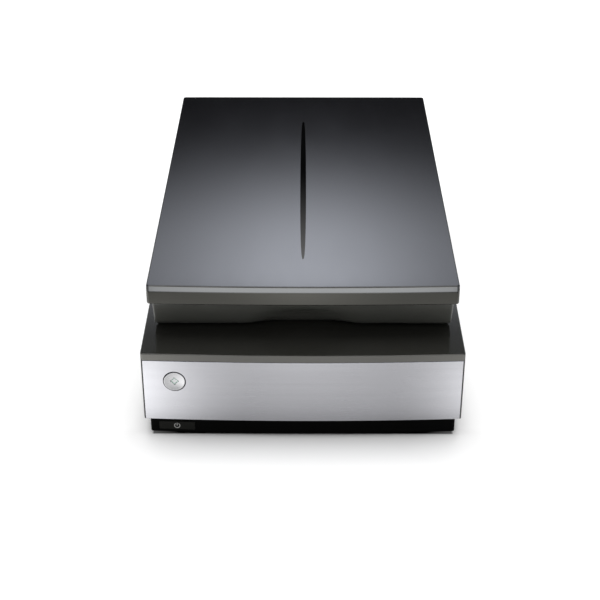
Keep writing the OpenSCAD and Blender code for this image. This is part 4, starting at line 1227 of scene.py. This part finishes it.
@dataclass
class Studio:
    """Pale floor with painted shadow and painted reflections, white world with soft gradients in reflections,
    softboxes and the camera.
    """

    lens: float = 81.57
    camera_place: Point = (0.0008, -1.3252, 0.7917)
    camera_tilt: float = 59.38
    camera_turn: float = 0.183
    floor_half: float = 6.0
    painted_shadow_foot: tuple[float, float] = (0.1478, 0.246)
    shadow_edge: float = 0.1535
    floor_lift: float = 0.13
    side_lift: float = 0.34
    far_lift: float = 0.5
    painted_glow_level: float = 1.7
    painted_left_glow: float = 2.9
    painted_right_glow: float = 1.7
    painted_flag_level: float = 0.85
    painted_toe_level: float = 0.8
    plain_level: float = 0.9
    wall_level: float = 4.4
    cool: Colour = (0.94, 0.98, 1.09)
    back_wall: Levels = (
        (0.0, 0.2), (0.15, 0.08), (0.37, 0.0), (0.393, 0.012), (0.405, 0.038), (0.421, 0.13),
        (0.437, 0.3), (0.452, 0.5), (0.468, 0.71), (0.484, 0.84), (0.5, 1.0), (0.504, 0.92),
        (0.513, 0.05), (0.56, 0.04), (0.72, 0.3), (0.86, 0.02),
    )
    front_wall: Levels = (
        (0.0, 0.32), (0.04, 0.3), (0.1, 0.12), (0.24, 0.17), (0.5, 0.2), (0.74, 0.1),
        (0.9, 0.02),
    )
    side_wall: Levels = (
        (0.0, 0.05), (0.12, 0.08), (0.3, 0.17), (0.5, 0.22), (0.75, 0.14), (1.0, 0.02),
    )
    side_level: float = 0.35
    window_level: float = 1.75
    lamps: tuple[SoftLight, ...] = (
        SoftLight("overhead", (0.0, 0.25, 2.6), (0.0, 0.0, 0.0), (1.8, 1.8), 38.0),
        SoftLight("front_fill", (0.0, -2.4, 1.9), (0.0, 0.0, 0.0), (1.6, 0.8), 9.0),
    )

    def build(self) -> None:
        """Adds the floor, the world, the lamps and the camera."""
        self.floor()
        self.world()
        for lamp in self.lamps:
            lamp.build()
        self.camera()

    def floor(self) -> None:
        """A pale floor that is white to the camera and keeps the object's shadow, with a painted shadow under
        the footprint and, for reflections only, painted shade in front and painted glows.
        """
        made = block("floor", (-1000.0, -1000.0, -8.0), (1000.0, 1000.0, 0.0))
        with editing(made):
            mark(made, Part.FACE, lambda f: f.normal.z > 0.5)
            bpy.ops.mesh.inset(thickness=0.25)
            mark(made, Part.VERTEX, lambda v: max(abs(v.co.x), abs(v.co.y)) > 0.9)
            bpy.ops.transform.resize(value=(self.floor_half, self.floor_half, 1.0))
        tree = ShaderTree("floor_paint")
        rays = tree.rays()
        mirror = rays["Is Glossy Ray"]
        here = tree.place()
        left, near = tree.axis(here, "X"), tree.axis(here, "Y")
        out_x, out_y = left.absolute(), near.absolute()
        # painted shade in reflections: to glossy rays the floor is painted black in front of the scanner,
        # near its toe and out at the sides
        painted_dark_flag = out_x.rise(0.2, 8.0) * self.painted_flag_level
        painted_toe_shade = near.rise(-0.295, 30.0) * self.painted_toe_level
        dark = mirror * near.rise(-0.24, -40.0) * painted_dark_flag.at_least(painted_toe_shade)
        # painted shadow: the floor is painted black under the scanner's footprint
        under = out_x.rise(self.painted_shadow_foot[0], -500.0) * out_y.rise(self.painted_shadow_foot[1], -500.0)
        plain = tree.blend(tree.noise(here, 3.0, 3.0), grey(0.84), grey(0.86))
        colour = tree.blend(dark.at_least(under), plain, grey(0.0))
        paint = tree.value("ShaderNodeBsdfDiffuse", {"Color": colour})
        soft = near.rise(-0.235, -5.0) * 0.9 + 0.03
        beside = ((out_x - self.shadow_edge) / soft + 0.5).clamped() * self.side_lift
        beside = beside * (1.0 - near.rise(-0.12, -8.0) * 0.4)
        beyond = out_y.rise(0.25, 16.0) * self.floor_lift
        far = out_x.at_least(out_y).rise(0.5, 3.0) * self.far_lift
        seen = (rays["Is Camera Ray"] + rays["Is Transmission Ray"]).clamped()
        lift = seen * beside.at_least(beyond).at_least(far)
        # painted reflections: emission that only glossy rays see, a spot in front and strips to the left and
        # right, glows on the floor and lights nothing
        along = near + 0.5
        spot = (left * left * 140.0 + along * along * 160.0).falloff()
        band = ((near + 0.33) * 14.0).power(4.0).falloff()
        painted_left_glow = left.rise(-0.05, -7.7).power(2.0) * self.painted_left_glow
        painted_right_glow = left.rise(0.09, 11.0).power(2.0) * self.painted_right_glow
        mirrored = mirror * (spot * self.painted_glow_level + band * (painted_left_glow + painted_right_glow))
        glow = tree.value("ShaderNodeEmission", {"Strength": lift + mirrored})
        tree.finish(tree.value("ShaderNodeAddShader", {0: paint, 1: glow}))
        made.data.materials.append(tree.owner)

    def world(self) -> None:
        """White for the camera and through glass, plain for diffuse light, a studio in reflections."""
        tree = ShaderTree("studio", bpy.data.worlds)
        bpy.context.scene.world = tree.owner
        rays = tree.rays()
        way = tree.value("ShaderNodeTexCoord", {}, out="Generated")
        across, depth, height = (tree.axis(way, name) for name in "XYZ")
        behind = (depth * 8.0 + 0.5).clamped()
        spread = across * across
        aside = across.absolute().rise(0.22, 4.0)
        fall = (spread * 100.0).falloff().at_least(self.side_level)
        back = tree.grey_ramp(height, self.back_wall) * fall
        pane = (height - 0.31) * 16.0
        window = self.window_level * pane.power(4.0).falloff() * (spread * spread * 400.0).falloff()
        front = tree.grey_ramp(height, self.front_wall) * self.wall_level + window
        ahead = back * behind * self.wall_level + front * (1.0 - behind)
        flank = tree.grey_ramp(height, self.side_wall) * self.wall_level
        mirrored = ahead * (1.0 - aside) + flank * aside
        sky = (height * 1.1 + 0.05).clamped() * self.plain_level
        mirror = rays["Is Glossy Ray"]
        seen = (rays["Is Camera Ray"] + rays["Is Transmission Ray"]).clamped()
        strength = seen + (1.0 - seen) * (sky * (1.0 - mirror) + mirrored * mirror)
        tint = tree.blend(mirror, grey(1.0), self.cool)
        tree.finish(tree.value("ShaderNodeBackground", {"Color": tint, "Strength": strength}), "World")

    def camera(self) -> None:
        """The camera at the photograph's viewing angle."""
        data = bpy.data.cameras.new("view")
        data.lens = self.lens
        data.sensor_width = 36.0
        made = put("view", data)
        made.location = self.camera_place
        made.rotation_euler = (math.radians(self.camera_tilt), 0.0, math.radians(self.camera_turn))
        bpy.context.scene.camera = made


# ---- Finishes of this scanner ----


class Palette:
    """Every finish of the scanner, built once."""

    def __init__(self) -> None:
        """Builds the materials."""
        # painted sheen: a warm tint on the reflections of the brow, bevel and frame stands in for warm front
        # light
        painted_warm_sheen = (1.0, 0.985, 0.9)
        self.lid = GlossLacquer("lid_lacquer").build()
        self.bevel = GlossLacquer("lid_bevel", roughness=0.09, index=2.2, sheen=painted_warm_sheen).build()
        # grip floor: painted shade, black towards the back of the groove
        self.grip = MouldedPlastic("grip_floor", grey(0.088), 0.5, index=1.05, painted_shade_span=(0.05, -0.16)).build()
        # brow: a lighter, warmer copy of the lid lacquer on the front faces, painted light
        self.brow = GlossLacquer("lid_brow", (0.008, 0.008, 0.006), index=1.5, sheen=painted_warm_sheen).build()
        self.frame = GlossLacquer("frame_lacquer", (0.018, 0.018, 0.0158), roughness=0.1, sheen=painted_warm_sheen).build()
        # front face of the frame: painted highlight, lighter than the frame's top
        self.painted_lit_front = GlossLacquer("frame_front", (0.086, 0.085, 0.081), roughness=0.22, sheen=painted_warm_sheen).build()
        # rim of the button hole: painted shade
        self.rim = MouldedPlastic("rim_painted_shade", (0.03, 0.03, 0.034), 0.5, 3000.0, 0.004, 1.3).build()
        self.case = MouldedPlastic("case_plastic", (0.012, 0.012, 0.0112), 0.45, index=1.35).build()
        # plinth: painted shade under the silver panel
        self.plinth = MouldedPlastic("plinth_painted_shade", (0.0015, 0.0015, 0.0014), 0.6, index=1.08).build()
        self.tray = MouldedPlastic("tray_plastic", (0.062, 0.063, 0.056), 0.42).build()
        self.silver = BrushedMetal(
            "silver_panel", (0.31, 0.31, 0.325), Brushing.ALONG_X, 0.26, stretch=0.8, turn=0.25
        ).build()
        self.button = SpunMetal("spun_button", (0.3, 0.3, 0.305), (-122.5 * MM, 0.0, 64.2 * MM)).build()
        self.light = SoftWhite("light_guide", (0.42, 0.62, 0.52), 0.3, 500.0, 0.01).build()
        self.dark_button = MouldedPlastic("dark_button", (0.009, 0.009, 0.008), 0.5, index=1.12).build()
        self.icon = MouldedPlastic("icon_print", (0.32, 0.32, 0.31), 0.4, 3000.0, 0.004).build()
        self.board = CircuitBoard("circuit_board").build()
        self.rubber = BlackRubber("black_rubber").build()
        self.steel = SheetSteel("zinc_steel").build()
        self.rod = BrushedMetal("ground_rod", (0.62, 0.62, 0.63), Brushing.NONE, 0.18, 0.001).build()
        self.bronze = SheetSteel("bronze", (0.5, 0.34, 0.16), 0.36, 240.0).build()
        self.glass = ClearGlass("clear_glass").build()
        self.lens = ClearGlass("lens_glass", (0.86, 0.9, 0.97)).build()
        self.mirror = BrushedMetal("mirror_glass", (0.86, 0.87, 0.88), Brushing.NONE, 0.06, 0.0005).build()
        self.diffuser = SoftWhite("diffuser", (0.86, 0.87, 0.85), 0.35, 700.0, 0.01).build()
        self.white = SoftWhite("white_mat").build()
        self.nylon = MouldedPlastic("nylon", (0.5, 0.49, 0.44), 0.4).build()
        self.motor = SheetSteel("motor_can", (0.4, 0.4, 0.41), 0.3, 150.0).build()
        self.inner = MouldedPlastic("inner_plastic", (0.018, 0.018, 0.018), 0.5).build()
        self.black_steel = SheetSteel("black_steel", (0.12, 0.12, 0.125), 0.4).build()


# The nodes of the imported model, by the name of the finish they get from the palette
FINISHED_NODES: dict[str, tuple[str, ...]] = {
    "case": ("lower_case", "lid_posts"),
    "frame": ("top_frame",),
    "glass": ("scan_glass",),
    "rubber": ("glass_gasket", "rubber_feet", "drive_belt", "lid_pads", "lamp_belt", "cable_gland"),
    "white": ("white_strip", "document_mat"),
    "silver": ("front_panel",),
    "button": ("start_button",),
    "light": ("start_light",),
    "dark_button": ("power_button",),
    "icon": ("power_ring", "transport_lock"),
    "board": ("button_board", "sensor_board", "main_board", "lamp_board"),
    "rod": ("guide_rod", "lens_rod", "lamp_rod", "hinge_pins"),
    "inner": (
        "rod_clips", "carriage_frame", "carriage_cover", "lens_carrier", "power_socket",
        "lamp_carriage",
    ),
    "nylon": ("side_rail", "drive_pulley", "idler_pulley", "lamp_pulley", "lamp_idler"),
    "bronze": ("carriage_bushes", "motor_pinion", "lamp_pinion"),
    "diffuser": ("light_bars", "film_window", "lamp_strip"),
    "mirror": ("first_mirror", "second_mirror", "third_mirror", "image_sensor"),
    "lens": ("photo_lens", "film_lens"),
    "steel": (
        "idler_bracket", "motor_bracket", "usb_socket", "cover_socket", "case_screws", "lid_screws",
    ),
    "motor": ("scan_motor", "lamp_motor"),
    "lid": ("lid_cover",),
    "tray": ("lid_tray",),
    "black_steel": ("hinge_brackets",),
}


def dress_nodes(palette: Palette) -> None:
    """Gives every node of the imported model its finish."""
    for finish, names in FINISHED_NODES.items():
        for name in names:
            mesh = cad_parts[name].data
            mesh.materials.clear()
            mesh.materials.append(getattr(palette, finish))
        log.info("%s: %s", finish, ", ".join(names))


def main() -> None:
    """Builds the studio and every piece."""
    logging.basicConfig(level=logging.INFO, format="%(name)s %(message)s")
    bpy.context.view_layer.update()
    bpy.context.scene.view_settings.view_transform = "Standard"
    palette = Palette()
    Studio().build()
    dress_nodes(palette)
    for group in PIECES:
        for piece in group.build(palette):
            piece.place()
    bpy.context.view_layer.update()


if __name__ == "__main__":
    main()
